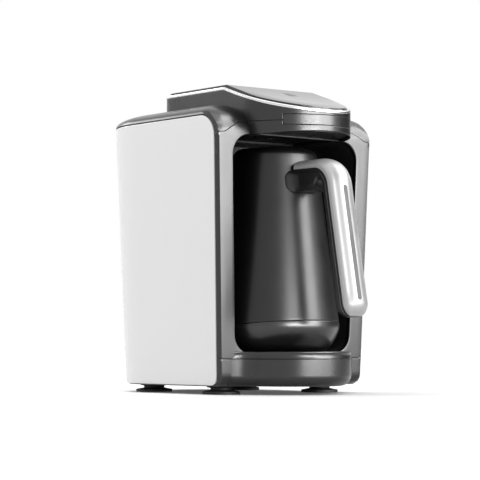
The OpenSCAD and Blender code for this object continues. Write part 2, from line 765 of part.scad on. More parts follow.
// ---------- feet ----------
foot_places = [for (sx = [-1, 1]) for (p = [[foot_x, foot_front_y], [foot_rear_x, foot_rear_y]])
    [sx*p.x, p.y]];
stud_r = 2.5;
module foot_pads() color("#111111") on_face() for (p = foot_places) translate([p.x, p.y, 0]) difference() {
    rotate_extrude() polygon([[0, 0], [foot_r, 0], [foot_r, floor_z*0.3], [foot_r - 1, floor_z*0.38],
        [foot_r*0.56, floor_z*0.55], [foot_r*0.56, floor_z*0.75], [foot_r*0.75, floor_z*0.84],
        [foot_r*0.75, floor_z - 0.1], [0, floor_z - 0.1]]);
    translate([0, 0, 1.5]) cylinder(h = 20, r = stud_r + 0.05);
}
module foot_studs() color("#333333") on_face() for (p = foot_places)
    translate([p.x, p.y, 1.6]) cylinder(h = base_plate_top - 1.7, r = stud_r);

// ---------- the pot ----------
pot_top_z = pot_z + pot_h;
pot_seam_z = pot_z + pot_seam_h;
pot_floor_z = pot_z + pot_floor_h;
roll_z = pot_top_z - pot_roll_r;
mouth_r = pot_neck_r - pot_roll_r;
// The side leans from the seam to the rolled shoulder
function pot_side(z) = pot_r - (pot_r - pot_neck_r)*(z - pot_seam_z)/(roll_z - pot_seam_z);
// Everything under the tilted seam, lowered by g
module under_seam(g) translate([0, 0, pot_seam_z - g]) rotate([-pot_seam_tilt, 0, 0])
    translate([-far/4, -far/4, -far/2]) cube([far/2, far/2, far/2]);
// The cup's rounded side, as [share of the way from the foot's radius to the widest, height]
cup_bowl = [[0.4, 3.8], [0.72, 9.5], [0.94, 19.5]];
cup_spigot_h = 13;
spigot_in = 4;
spigot_r = pot_r - spigot_in;
module pot_profile(t, floor_t) {
    polygon(concat(
        [[0, pot_z + floor_t], [pot_foot_r - t, pot_z + floor_t]],
        [for (v = cup_bowl) [pot_foot_r + (pot_r - pot_foot_r)*v.x - t, pot_z + v.y]],
        [[pot_side(pot_seam_z) - t, pot_seam_z], [pot_side(roll_z) - t, roll_z]],
        arc(mouth_r, roll_z, pot_roll_r - t, 15, 90, 5),
        [[0, pot_top_z - t]]));
}
module pot_body() color("#1b1b1c") on_pot() difference() {
    rotate_extrude($fn = 128) pot_profile(0, 0);
    under_seam(-seam_gap/2);
    rotate_extrude($fn = 128) intersection() {
        pot_profile(pot_wall, pot_wall);
        translate([0, pot_floor_z]) square([far, far]);
    }
    translate([0, 0, roll_z]) cylinder(h = 20, r = mouth_r);
    translate([0, 0, pot_z - 1]) cylinder(h = pot_floor_z - pot_wall - pot_z + 1, r = spigot_r);
}
cup_floor_t = 3;
module pot_base_cup() color("#232324") on_pot() difference() {
    union() {
        intersection() {
            rotate_extrude($fn = 128) pot_profile(0, 0);
            under_seam(seam_gap/2);
        }
        translate([0, 0, pot_z + cup_spigot_h])
            cylinder(h = pot_floor_h - pot_wall - cup_spigot_h - fit_gap, r = spigot_r - fit_gap);
    }
    rotate_extrude($fn = 128) pot_profile(wall + spigot_in, cup_floor_t);
    translate([0, 0, pot_z - 1]) cylinder(h = 10, r = block_r + fit_gap);
}
// The heating element is a ring tube cast onto a disc under the pot's inner floor
heater_t = 3;
heater_r = pot_r - 12;
element_r = 3.4;
element_ring_r = pot_r - 22;
module heater_plate() color("#9a9a9a") on_pot() {
    translate([0, 0, pot_floor_z - pot_wall - heater_t - 0.1]) cylinder(h = heater_t, r = heater_r);
    translate([0, 0, pot_floor_z - pot_wall - heater_t - 3.2]) rotate_extrude()
        translate([element_ring_r, 0]) circle(element_r, $fn = 24);
}
module pot_connector() color("#2a2a2a") on_pot() difference() {
    union() {
        translate([0, 0, pot_z + 0.1]) cylinder(h = 7, r = block_r);
        translate([0, 0, pot_z + 3.1]) cylinder(h = 3, r = block_r + 4);
    }
    for (x = pin_xs) translate([x, 0, pot_z - 1]) cylinder(h = 3.2, r = pin_r + 1.2);
}
module pot_contacts() color("#c9a24a") on_pot() for (x = pin_xs)
    translate([x, 0, pot_z + 0.15]) cylinder(h = 2, r = pin_r + 1.1);

// ---------- the handle ----------
// Place on the handle's outer face at a distance s from the root, as [y, z], measured from the pot's axis
top_run = 46;
bend_len = handle_bend_r*(90 - grip_lean)*PI/180;
grip_s = top_run + bend_len;
tip_s = grip_s + grip_len;
function turn(s) = min(max((s - top_run)/handle_bend_r*180/PI, 0), 90 - grip_lean);
function spine(s) = let(a = turn(s), run = min(s - top_run, 0), drop = max(s - grip_s, 0))
    [-handle_bend_y - run - handle_bend_r*sin(a) - drop*sin(grip_lean),
     handle_top_z - handle_bend_r*(1 - cos(a)) - drop*cos(grip_lean)];
// A ring across the handle at s: points are given as [across, depth under the outer face]
function across(s, pts) = let(o = spine(s), a = turn(s))
    [for (p = pts) [p.x, o.x + p.y*sin(a), o.y - p.y*cos(a)]];
// Stations as [s, how far the outline has drawn in, depth of the whole handle]
handle_stations = [[14, 0, 25], [24, 0, 26], [36, 0, 27], [top_run, 0, 24], [top_run + 9, 0, 18],
    [top_run + 18, 0, 17], [top_run + 27, 0, 17.4], [grip_s, 0, 17.8], [grip_s + 34, 0, 18.2],
    [grip_s + 68, 0, 19.6], [tip_s, 0, 20.6], [tip_s + 3.5, 0.9, 20], [tip_s + 6.5, 2.4, 18.6],
    [tip_s + 8.6, 4.4, 16.4], [tip_s + 10, 7, 13.8]];
function cover_ring(s, in) = let(w = handle_w/2 - in*0.8, left = 1 - in/cover_d, c = cover_crown*left,
        half = [[w, cover_d], [w, in + c + left], [w*0.94, in + c*0.78], [w*0.8, in + c*0.5],
            [w*0.54, in + c*0.22], [w*0.48, in]])
    across(s, concat(half, [for (i = [len(half) - 1:-1:0]) [-half[i].x, half[i].y]]));
function core_ring(s, in, depth) = let(w = handle_w/2 - 0.3 - in*0.8, d = cover_d + 0.1,
        r = min(5, w*0.6, (depth - d)*0.8))
    across(s, [[-w, d], [-w, depth - r], [-w + r*0.3, depth - r*0.3], [-w + r, depth], [w - r, depth],
        [w - r*0.3, depth - r*0.3], [w, depth - r], [w, d]]);
module handle_cover() color("#d9d9d9") on_pot() difference() {
    loft([for (v = handle_stations) cover_ring(v[0], v[1])]);
    inlay_bar(0.1, -1, 1.3);
    pot_side_solid(2.5);
}
// The pot's side, grown by g, that the handle is cut against
module pot_side_solid(g) rotate_extrude($fn = 128)
    polygon([[0, pot_seam_z], [pot_side(pot_seam_z) + g, pot_seam_z],
        [pot_side(roll_z) + g, roll_z], [pot_side(roll_z) + g, pot_top_z], [0, pot_top_z]]);
// Front view of the saddle that spreads the handle's root over the pot's wall
saddle_t = 3.2;
saddle_half = 17;
saddle_r = 7;
module saddle_outline() {
    top = handle_top_z - cover_d - 0.3;
    foot = handle_top_z - 27.5;
    polygon(concat(
        arc(saddle_half - saddle_r, foot + saddle_r, saddle_r, 270, 360, 6),
        arc(saddle_half - saddle_r, top - saddle_r, saddle_r, 0, 90, 6),
        arc(-saddle_half + saddle_r, top - saddle_r, saddle_r, 90, 180, 6),
        arc(-saddle_half + saddle_r, foot + saddle_r, saddle_r, 180, 270, 6)));
}
module handle_core() color("#2a2a2b") on_pot() difference() {
    union() {
        loft([for (v = handle_stations) core_ring(v[0], v[1], v[2])]);
        intersection() {
            pot_side_solid(saddle_t);
            along_y(-far/4, 0) saddle_outline();
        }
    }
    pot_side_solid(pot_gap);
    bracket_space(0.1);
    for (x = handle_screw_xs) translate([x, handle_screw_y, 0]) {
        cylinder(h = bracket_z, r = screw_r + 0.1);
        cylinder(h = screw_seat_z, r = 2.9);
    }
}
bracket_z = handle_top_z - 20;
bracket_w = 16;
bracket_t = 6;
bracket_reach = 52;
screw_seat_z = bracket_z - 3.4;
handle_screw_xs = [-4.5, 4.5];
handle_screw_y = 6 - bracket_reach;
// The bar that fills the slot along the grip
module on_grip() translate([0, spine(grip_s).x, spine(grip_s).y]) rotate([-grip_lean, 0, 0]) children();
// Grown by g across, from top to foot, both measured down from the grip's face
module inlay_bar(g, top, foot) on_grip() rotate([90, 0, 0])
    translate([0, 0, -foot]) linear_extrude(foot - top)
        hull() for (z = [-2 - inlay_w/2, -2 - inlay_len + inlay_w/2])
            translate([0, z]) circle(inlay_w/2 + g, $fn = 24);
module handle_inlay() color("#3c3c3d") on_pot() inlay_bar(0, 0.2, 1.2);
// A steel tongue on the pot's wall that the handle is screwed to
module bracket_space(g) translate([-bracket_w/2 - g, -bracket_reach - g, bracket_z - g])
    cube([bracket_w + 2*g, bracket_reach, bracket_t + 2*g]);
module handle_bracket() color("silver") on_pot() difference() {
    bracket_space(0);
    pot_side_solid(0.05);
    for (x = handle_screw_xs) translate([x, handle_screw_y, 0]) cylinder(h = far/2, r = screw_r - 0.1);
}
module handle_screws() color("silver") on_pot() for (x = handle_screw_xs)
    translate([x, handle_screw_y, screw_seat_z]) {
        translate([0, 0, -2]) cylinder(h = 1.9, r = 2.7);
        translate([0, 0, -0.2]) cylinder(h = 9, r = screw_r - 0.15);
    }

main_housing();
front_frame();
top_cover();
base_front();
base_plate();
side_panel_left();
side_panel_right();
rear_strip();
head_rim();
control_plate();
touch_board();
badge_plate();
niche_liner();
brew_ceiling();
sensor_lens();
sensor_board();
pot_stand();
contact_block();
contact_pin_left();
contact_pin_middle();
contact_pin_right();
contact_spring_left();
contact_spring_middle();
contact_spring_right();
power_board();
relay();
transformer();
buzzer();
board_screws();
cord_gland();
foot_pads();
foot_studs();
base_screws();
pot_body();
pot_base_cup();
heater_plate();
pot_connector();
pot_contacts();
handle_bracket();
handle_core();
handle_cover();
handle_inlay();
handle_screws();
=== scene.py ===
"""Looks of the electric Turkish coffee maker, laid out as an add-on and run as a script."""

import math
from types import SimpleNamespace

import bmesh
import bpy
import numpy as np
from bpy.props import FloatProperty, FloatVectorProperty, IntProperty, PointerProperty
from mathutils import Matrix, Vector, geometry


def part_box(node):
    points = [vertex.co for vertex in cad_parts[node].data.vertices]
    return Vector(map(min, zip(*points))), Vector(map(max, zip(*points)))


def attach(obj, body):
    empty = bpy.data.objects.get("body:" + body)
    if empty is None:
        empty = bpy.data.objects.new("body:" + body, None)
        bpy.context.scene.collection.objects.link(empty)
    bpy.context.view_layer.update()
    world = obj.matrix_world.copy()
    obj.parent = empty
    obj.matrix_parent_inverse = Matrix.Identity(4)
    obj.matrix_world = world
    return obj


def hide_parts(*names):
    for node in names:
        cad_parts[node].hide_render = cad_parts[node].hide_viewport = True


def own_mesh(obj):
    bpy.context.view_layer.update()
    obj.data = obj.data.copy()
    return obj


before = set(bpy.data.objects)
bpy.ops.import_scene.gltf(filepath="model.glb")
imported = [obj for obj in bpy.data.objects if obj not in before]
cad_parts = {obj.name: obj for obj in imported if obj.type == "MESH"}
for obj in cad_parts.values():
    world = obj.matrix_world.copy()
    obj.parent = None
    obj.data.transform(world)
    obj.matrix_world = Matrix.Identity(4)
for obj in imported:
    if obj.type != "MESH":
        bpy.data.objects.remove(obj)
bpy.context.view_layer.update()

bl_info = {
    "name": "Electric Turkish coffee maker",
    "version": (1, 0, 0),
    "blender": (4, 5, 0),
    "location": "3D View > Sidebar > Coffee Maker",
    "description": "Builds the skins, head, pot, handle and finishes over the packed model",
    "category": "Add Mesh",
}

MM = 0.001
# The housing's front face in the frame: points and depths below are measured from it, in millimetres
FRONT_Y = -61.8567
# The pot's axis behind the front face
POT_Y = 30.0
# Points nearer together than this become one
MERGE = 0.002
# Steps round the rounded edge of a moulded skin
EDGE_STEPS = 4
# The touch spot's middle on the plate, across and behind the front face, its radius and its depth
TOUCH_SPOT = (4, 14)
TOUCH_SPOT_R = 9.5
TOUCH_SPOT_DEPTH = 0.9
# How far the touch plate falls towards the nose, and over what width along its edge
PLATE_FALL = 0.9
PLATE_FALL_W = 16
# The frame's upper seam from the corner to the head: from the middle, and over the level of the roll
CHEEK = ((76, 1.6), (70.2, 5.1), (64, 8.4), (59, 10.3), (55.6, 10.9))
# Height at which the niche's width is given
NICHE_WIDTH_Z = 200
# The cord gland's opening in the rear strip: its height and radius
GLAND_Z, GLAND_R = 30, 6.2
# Top of the band round the stand
BAND_TOP_Z = 36.0
# Where the base plate starts behind the face
BASE_PLATE_Y = 25
# How far the crown runs on under the head, where its wall hides it
CROWN_UNDER = 22
# Distance of the spigot between the pot and its cup inside the widest radius
SPIGOT_IN = 4
# The cup's outer face: radius, and height over the pot's underside
BOWL = ((40.4, 0), (41.4, 0.12), (42.3, 0.45), (44.6, 1.7), (47.3, 3.9), (49.2, 6.3), (51.0, 9.2),
        (52.6, 12.0), (53.8, 14.8))
# The handle's straight top, from the spine's start to the bend
HANDLE_TOP_RUN = 46.0
# The handle's whole depth along its root and bend: along the spine, and depth
ROOT_DEPTHS = ((30, 26.5), (36, 27), (46, 24), (51, 20.8), (56, 18.2), (64, 17), (73, 17.4))
# The same past the tip's start, where the handle draws in
TIP_DEPTHS = ((0, 20.6), (3.5, 20), (6.5, 18.6), (8.6, 16.4), (10, 13.8))
TIP_STEPS = (1.5, 3, 4.4, 5.7, 6.9, 7.9, 8.7, 9.3, 9.7, 9.95)


# ---------------------------------------------------------------- sizes and colours
def length(label, millimetres, about):
    """A size property in metres whose default is given in millimetres."""
    return FloatProperty(name=label, description=about, default=millimetres * MM, precision=5,
                         subtype="DISTANCE", unit="LENGTH")


def angle(label, degrees, about):
    """An angle property whose default is given in degrees."""
    return FloatProperty(name=label, description=about, default=math.radians(degrees), subtype="ANGLE",
                         unit="ROTATION")


def srgb(label, code, about):
    """A colour property from an sRGB hex value, kept as scene-linear."""
    return FloatVectorProperty(name=label, description=about, size=4, min=0, max=1, default=linear(code),
                               subtype="COLOR")


def linear(code):
    """sRGB hex to linear RGBA."""
    parts = [int(code[i:i + 2], 16) / 255 for i in (1, 3, 5)]
    return (*[c / 12.92 if c <= 0.04045 else ((c + 0.055) / 1.055) ** 2.4 for c in parts], 1.0)


class BodySizes(bpy.types.PropertyGroup):
    """The housing's outer form."""

    body_w: length("Width", 167.996, "Width at the shoulders")
    back_mid_y: length("Back start", 126, "Where the rounded back begins, behind the front face")
    back_bulge: length("Back depth", 79.4, "Depth of the rounded back at the shoulders")
    shoulder_z: length("Shoulder height", 234, "Height of the panels' top edge")
    crown_z: length("Crown height", 247.2, "Highest level of the shoulders")
    crown_len: length("Crown run", 60, "How far the shoulders run inwards")
    floor_z: length("Underside", 7, "Height of the flat underside")
    face_ref_z: length("Roll start", 217, "Height above which the face rolls back")
    roll_len: length("Roll depth", 60, "How far the face rolls back")
    foot_roll_r: length("Foot roll", 9, "Radius of the face's rounded lower edge")
    foot_side_r: length("Foot edge", 2.2, "Radius of the sides' lower edge")
    corner_r: length("Corner", 2, "Radius of the upright front corners")
    base_seam_z: length("Base seam", 30, "Height of the seam over the base")
    frame_d: length("Frame depth", 4.4, "Depth of the front frame")
    nose_fillet_r: length("Nose corners", 18, "Radius of the hollow corners beside the round base")
    side_draft: angle("Side lean", 1.93, "Lean of the sides")
    front_draft: angle("Front lean", 1.53, "Lean of the face")
    back_draft: angle("Back lean", 3.9, "Lean of the back")


class PanelSizes(bpy.types.PropertyGroup):
    """The clip-on side panels and the rear strip."""

    thickness: length("Thickness", 2.4, "Thickness of a panel")
    front_in: length("Front edge", 6.5, "From the face to the panel's front edge")
    top_r: length("Upper corner", 18, "Radius of the upper front corner")
    foot_r: length("Lower corner", 8, "Radius of the lower front corner")
    foot_h: length("Foot gap", 0.5, "Panel's edge over the underside")
    groove: length("Groove", 0.8, "Open groove round a panel")
    rear_half_w: length("Strip half width", 32, "Half the width of the rear strip")
    seam: length("Seam", 0.3, "Gap at a moulded seam")
    edge_r: length("Edge", 0.7, "Rounding of a panel's edge")


class HeadSizes(bpy.types.PropertyGroup):
    """The head over the pot."""

    head_r: length("Nose radius", 51, "Radius of the round nose")
    centre_y: length("Nose centre", 8, "Nose's centre behind the face")
    back_y: length("Back wall", 128, "Back wall behind the face")
    back_corner_r: length("Back corner", 14, "Radius of the two back corners")
    top_z: length("Top", 258, "Height of the flat top under the rim")
    brow_y: length("Brow", 36, "Where the top starts to slope")
    seam_z: length("Head seam", 228, "Seam between skirt and cover")
    lip_z: length("Lip", 216.6, "Lower edge at the sides")
    lip_rise: length("Lip rise", 3, "Rise of the lower edge at the middle")
    wall: length("Wall", 2.5, "Wall thickness")
    rim_w: length("Rim width", 3, "Width of the bright rim")
    rim_h: length("Rim height", 2.6, "Height of the bright rim")
    plate_proud: length("Plate", 2.2, "How far the touch plate stands over the rim")
    badge_w: length("Badge width", 74, "Width of the blank badge")
    badge_z: length("Badge foot", 224.3, "Height of the badge's lower edge")
    badge_h: length("Badge height", 8.8, "Height of the badge")
    slope: FloatProperty(name="Slope", description="Steepness of the slope at the brow", default=0.35)
    curve: FloatProperty(name="Slope curve", description="How the slope flattens, per mm", default=0.00074)


class NicheSizes(bpy.types.PropertyGroup):
    """The niche's opening in the front frame."""

    width: length("Width", 134.8, "Width near the top")
    floor_z: length("Floor", 35.3, "Height of its floor")
    top_z: length("Top", 217, "Height of its ceiling")
    foot_r: length("Lower corner", 15, "Radius of the lower corners")
    top_r: length("Upper corner", 17, "Radius of the upper corners")
    edge_r: length("Edge", 1.1, "Rounding of its edge")
    draft: angle("Lean", 1.95, "Lean of its sides")


class PotSizes(bpy.types.PropertyGroup):
    """The pot and its cup."""

    foot_z: length("Foot", 36.2, "Height of the pot's underside")
    height: length("Height", 173, "Height of the pot")
    seam_h: length("Seam", 21.5, "Height of the seam over the underside")
    floor_h: length("Inner floor", 31, "Height of the inner floor over the underside")
    widest_r: length("Widest radius", 55.5, "Radius at the seam")
    neck_r: length("Neck radius", 36.5, "Radius under the rolled shoulder")
    foot_r: length("Foot radius", 42, "Radius of the underside")
    roll_r: length("Roll", 8, "Radius of the rolled shoulder")
    wall: length("Wall", 1.4, "Thickness of the metal")
    seam_tilt: angle("Seam tilt", 4.6, "Lean of the seam, rising to the handle")
    steps: IntProperty(name="Steps", description="Steps round the pot", default=160, min=32, max=360)


class HandleSizes(bpy.types.PropertyGroup):
    """The long angled handle."""

    top_z: length("Top", 197, "Height of the flat top")
    bend_r: length("Bend", 26.4, "Radius of the bend at the outer face")
    bend_y: length("Bend start", 66.6, "From the pot's axis to the bend")
    grip_len: length("Grip", 100.88, "Length of the straight grip")
    width: length("Width", 24, "Width of the handle")
    cover_d: length("Cover depth", 8, "Depth of the cover at its sides")
    crown: length("Crown", 4.5, "How far the cover's edges lie behind its middle")
    slot_w: length("Slot width", 4.2, "Width of the slot in the cover")
    slot_len: length("Slot length", 97, "Length of the slot")
    lean: angle("Lean", 11, "Lean of the grip")


class FootSizes(bpy.types.PropertyGroup):
    """The four rubber feet."""

    radius: length("Radius", 16, "Radius of a foot")
    across: length("Front across", 54, "From the middle to a front foot")
    rear_across: length("Rear across", 49, "From the middle to a rear foot")
    front_y: length("Front feet", 35, "Front feet behind the front face")
    rear_y: length("Rear feet", 139.5, "Rear feet behind the front face")


class StudioSizes(bpy.types.PropertyGroup):
    """The camera and the lamps."""

    spot: FloatVectorProperty(name="Camera", description="Where the camera stands", size=3,
                              default=(-1.0881, -1.3909, 0.0467), subtype="TRANSLATION", unit="LENGTH")
    turn: angle("Turn", 37.7, "Camera's turn to the left of the front")
    tilt: angle("Tilt", -2.79, "How far the camera looks down")
    lens: FloatProperty(name="Lens", description="Focal length in mm", default=151.99)
    sensor: FloatProperty(name="Sensor", description="Sensor width in mm", default=36.0)
    left: FloatProperty(name="Left lamp", description="Its level, where 1 is white", default=1.6)
    front: FloatProperty(name="Front lamp", description="Its level, where 1 is white", default=0.6)
    right: FloatProperty(name="Right lamp", description="Its level, where 1 is white", default=1.0)
    top: FloatProperty(name="Top lamp", description="Its level, where 1 is white", default=1.4)
    glint: FloatProperty(name="Glint", description="Level of what metal and gloss reflect", default=12.5)
    ambient: FloatProperty(name="Ambient", description="World light on the object", default=0.65)


class Finishes(bpy.types.PropertyGroup):
    """The colours of the finishes."""

    gunmetal: srgb("Gunmetal", "#3e3e3e", "Metallic paint on the moulded housing")
    panel: srgb("Panel", "#e9e9e9", "Gloss white moulding")
    bright: srgb("Bright trim", "#d8d8d8", "Anodised aluminium")
    black: srgb("Black gloss", "#0b0b0c", "Gloss black moulding")
    pot: srgb("Pot", "#353535", "Coated steel of the pot")
    handle: srgb("Handle core", "#191919", "Satin plastic of the handle's core")


GROUPS = {"maker_body": BodySizes, "maker_panel": PanelSizes, "maker_head": HeadSizes,
          "maker_niche": NicheSizes, "maker_pot": PotSizes, "maker_handle": HandleSizes,
          "maker_foot": FootSizes, "maker_studio": StudioSizes, "maker_finish": Finishes}


def sizes(name):
    """A property group's lengths in millimetres, and its angles and numbers as they are."""
    group = getattr(bpy.context.scene, name)
    out = {}
    for prop in group.bl_rna.properties:
        if prop.identifier in ("rna_type", "name"):
            continue
        value = getattr(group, prop.identifier)
        in_metres = getattr(prop, "unit", "NONE") == "LENGTH" and not prop.is_array
        out[prop.identifier] = value / MM if in_metres else value
    return SimpleNamespace(**out)


# ---------------------------------------------------------------- mesh helpers
def new_piece(name, points, faces):
    """A mesh object from points in millimetres, measured from the middle of the front face."""
    mesh = bpy.data.meshes.new(name)
    mesh.from_pydata([(x * MM, (y + FRONT_Y) * MM, z * MM) for x, y, z in points], [], faces)
    mesh.validate()
    piece = bpy.data.objects.new(name, mesh)
    bpy.context.scene.collection.objects.link(piece)
    return piece


def tidy_mesh(piece):
    """Merges doubled points and turns every face outwards."""
    work = bmesh.new()
    work.from_mesh(piece.data)
    bmesh.ops.remove_doubles(work, verts=work.verts, dist=MERGE * MM)
    bmesh.ops.recalc_face_normals(work, faces=work.faces)
    work.to_mesh(piece.data)
    work.free()


def shade(piece, crease):
    """Smooth shading that breaks at edges sharper than crease degrees, with flat faces kept flat."""
    piece.data.shade_smooth()
    piece.data.set_sharp_from_angle(angle=math.radians(crease))
    weigh = piece.modifiers.new("weighted", "WEIGHTED_NORMAL")
    weigh.keep_sharp = True
    weigh.mode = "FACE_AREA_WITH_ANGLE"


def place(piece, body, finish, node, crease=35):
    """Shades a piece, gives it its named finish, hides the node that it stands in for, and parents it to its
    body.
    """
    if crease:
        shade(piece, crease)
    piece.data.materials.clear()
    piece.data.materials.append(finishes()[finish])
    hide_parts(node)
    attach(piece, body)


def joined(name, pieces):
    """One object from several."""
    with bpy.context.temp_override(active_object=pieces[0], selected_editable_objects=pieces):
        bpy.ops.object.join()
    pieces[0].name = name
    return pieces[0]


def stack(name, rings, closed=False):
    """A solid through rings with the same number of points each, in a closed ring itself or capped."""
    n = len(rings[0])
    faces = []
    last = len(rings) if closed else len(rings) - 1
    for k in range(last):
        a, b = k * n, (k + 1) % len(rings) * n
        faces += [(a + i, a + (i + 1) % n, b + (i + 1) % n, b + i) for i in range(n)]
    if not closed:
        faces.append(tuple(range(n - 1, -1, -1)))
        faces.append(tuple(range((len(rings) - 1) * n, len(rings) * n)))
    piece = new_piece(name, [p for ring in rings for p in ring], faces)
    tidy_mesh(piece)
    return piece


def turned(name, profile, steps, centre=(0, 0)):
    """A solid of revolution from a closed profile of (radius, height)."""
    rings = []
    for i in range(steps):
        a = 2 * math.pi * i / steps
        rings.append([(centre[0] + r * math.sin(a), centre[1] - r * math.cos(a), z) for r, z in profile])
    return stack(name, rings, closed=True)


def arc(cx, cy, r, a0, a1, n):
    """Points on an arc, angles in degrees."""
    out = []
    for i in range(n + 1):
        a = math.radians(a0 + (a1 - a0) * i / n)
        out.append((cx + r * math.cos(a), cy + r * math.sin(a)))
    return out


def mirrored(line):
    """A line of the right half, followed by its mirror image back to the start."""
    return line + [(-x, y) for x, y in reversed(line)]


def round_box(half, low, high, r, steps):
    """A loop round a box with rounded corners, half as wide on each side of the middle."""
    corners = ((half - r, low + r, 270), (half - r, high - r, 0), (-half + r, high - r, 90),
               (-half + r, low + r, 180))
    return [p for x, y, a in corners for p in arc(x, y, r, a, a + 90, steps)]


def dense(loop, step):
    """A closed loop with points added so that none of its sides is longer than step."""
    out = []
    for a, b in zip(loop, loop[1:] + loop[:1]):
        n = max(1, math.ceil(math.hypot(b[0] - a[0], b[1] - a[1]) / step))
        out += [(a[0] + (b[0] - a[0]) * i / n, a[1] + (b[1] - a[1]) * i / n) for i in range(n)]
    return out


def clean_loop(loop, least=0.05):
    """A loop without doubled points."""
    out = []
    for p in loop:
        if not out or math.hypot(p[0] - out[-1][0], p[1] - out[-1][1]) > least:
            out.append(p)
    if math.hypot(out[0][0] - out[-1][0], out[0][1] - out[-1][1]) <= least:
        out.pop()
    return out


def inside(points, loops):
    """Which points lie within the outer loop and outside the holes, by the even-odd rule."""
    points = np.asarray(points, float)
    odd = np.zeros(len(points), bool)
    for loop in loops:
        a = np.asarray(loop, float)
        b = np.roll(a, -1, axis=0)
        for (x0, y0), (x1, y1) in zip(a, b):
            if y0 == y1:
                continue
            crosses = (points[:, 1] >= min(y0, y1)) & (points[:, 1] < max(y0, y1))
            at = x0 + (points[:, 1] - y0) * (x1 - x0) / (y1 - y0)
            odd ^= crosses & (points[:, 0] < at)
    return odd


def loop_normals(loop, hole):
    """Unit vectors that point from each point of a loop into the material."""
    a = np.asarray(loop, float)
    area = 0.5 * np.sum(a[:, 0] * np.roll(a[:, 1], -1) - np.roll(a[:, 0], -1) * a[:, 1])
    t0 = a - np.roll(a, 1, axis=0)
    t1 = np.roll(a, -1, axis=0) - a
    t0 /= np.linalg.norm(t0, axis=1)[:, None]
    t1 /= np.linalg.norm(t1, axis=1)[:, None]
    turn = 1 if (area > 0) != hole else -1
    n0 = np.stack([-t0[:, 1], t0[:, 0]], 1) * turn
    n1 = np.stack([-t1[:, 1], t1[:, 0]], 1) * turn
    n = n0 + n1
    size = np.linalg.norm(n, axis=1)[:, None]
    n /= np.maximum(size, 1e-6)
    cosine = np.clip(np.sum(n * n0, axis=1), 0.5, 1)[:, None]
    return n / cosine


def skin(name, surface, loops, spacing, join=None):
    """A moulded skin: the region between loops on a surface, given a wall and rounded edges.

    surface(u, v, depth) gives the point that lies depth under the outer face. Each loop is a dict with its
    points, the wall's depth, the edge's radius, and hole=True for an opening. join names a test for the
    points at which two ends of an unrolled surface meet: no wall is made there.
    """
    points, faces, flat, starts, inner = [], [], [], [], []
    common = loops[0]["depth"]
    for loop in loops:
        line = dense(clean_loop(loop["points"]), loop["step"])
        area = sum(a[0] * b[1] - b[0] * a[1] for a, b in zip(line, line[1:] + line[:1]))
        if (area > 0) == bool(loop.get("hole")):
            line.reverse()
        n = len(line)
        normals = loop_normals(line, loop.get("hole", False))
        held = [bool(join and join(p)) for p in line]
        for i, on in enumerate(held):
            if on:
                normals[i] = (0, 0) if held[i - 1] and held[(i + 1) % n] else (0, np.sign(normals[i][1]))
        edge, depth = loop["edge"], loop["depth"]
        rings = [(edge, common)] + ([] if depth == common else [(edge, depth)]) + [(0, depth)]
        rings += [(edge * (1 - math.cos(a)), edge * (1 - math.sin(a)))
                  for a in [math.pi / 2 * k / EDGE_STEPS for k in range(EDGE_STEPS + 1)]]
        first = len(points)
        for inset, down in rings:
            points += [surface(p[0] + m[0] * inset, p[1] + m[1] * inset, down)
                       for p, m in zip(line, normals)]
        for k in range(len(rings) - 1):
            a, b = first + k * n, first + (k + 1) * n
            for i in range(n):
                j = (i + 1) % n
                if not (held[i] and held[j]):
                    faces.append((a + i, a + j, b + j, b + i))
        top = [(p[0] + m[0] * edge, p[1] + m[1] * edge) for p, m in zip(line, normals)]
        starts.append((first, first + (len(rings) - 1) * n, n))
        inner.append(top)
        flat += top
    lo, hi = np.min(flat, axis=0), np.max(flat, axis=0)
    nu, nv = (max(2, math.ceil(d / spacing)) for d in hi - lo)
    grid = [(lo[0] + (hi[0] - lo[0]) * (i + 0.5) / nu, lo[1] + (hi[1] - lo[1]) * (j + 0.5) / nv)
            for i in range(nu) for j in range(nv)]
    grid = np.array(grid)[inside(grid, inner)]
    border = np.array(flat)
    clear = [float(np.min(np.sum((border - g) ** 2, axis=1))) > (0.45 * spacing) ** 2 for g in grid]
    grid = [tuple(g) for g, keep in zip(grid, clear) if keep]
    coords = [Vector(p) for p in flat + grid]
    edges, at = [], 0
    for top in inner:
        n = len(top)
        edges += [(at + i, at + (i + 1) % n) for i in range(n)]
        at += n
    out_points, _, triangles, sources, *_ = geometry.delaunay_2d_cdt(coords, edges, [], 0, 1e-5)
    middles = [sum((out_points[i] for i in t), Vector((0, 0))) / len(t) for t in triangles]
    keep = inside([(m.x, m.y) for m in middles], inner)
    outer_index, back_index = {}, {}
    ring_of = [(first + i, last + i) for first, last, n in starts for i in range(n)]
    for i, p in enumerate(out_points):
        source = sources[i][0] if sources[i] else None
        if source is not None and source < len(flat):
            back_index[i], outer_index[i] = ring_of[source]
        else:
            outer_index[i], back_index[i] = len(points), len(points) + 1
            points += [surface(p.x, p.y, 0), surface(p.x, p.y, common)]
    for t, good in zip(triangles, keep):
        if good:
            faces.append(tuple(outer_index[i] for i in t))
            faces.append(tuple(back_index[i] for i in reversed(t)))
    piece = new_piece(name, points, faces)
    tidy_mesh(piece)
    return piece


def normal_surface(place_at, step=0.05):
    """Turns place_at(u, v) into surface(u, v, depth), with depth measured along the inward normal."""
    def surface(u, v, depth):
        p = np.array(place_at(u, v))
        if depth == 0:
            return tuple(p)
        du = np.array(place_at(u + step, v)) - np.array(place_at(u - step, v))
        dv = np.array(place_at(u, v + step)) - np.array(place_at(u, v - step))
        n = np.cross(du, dv)
        return tuple(p - depth * n / max(np.linalg.norm(n), 1e-9))
    return surface


# ---------------------------------------------------------------- forms
def sag(share):
    """How far a quarter circle of radius 1 has fallen, at a share of its run."""
    return 1 - math.sqrt(1 - share * share)


def clamp(value, low=0, high=1):
    """A value held between two limits."""
    return min(max(value, low), high)


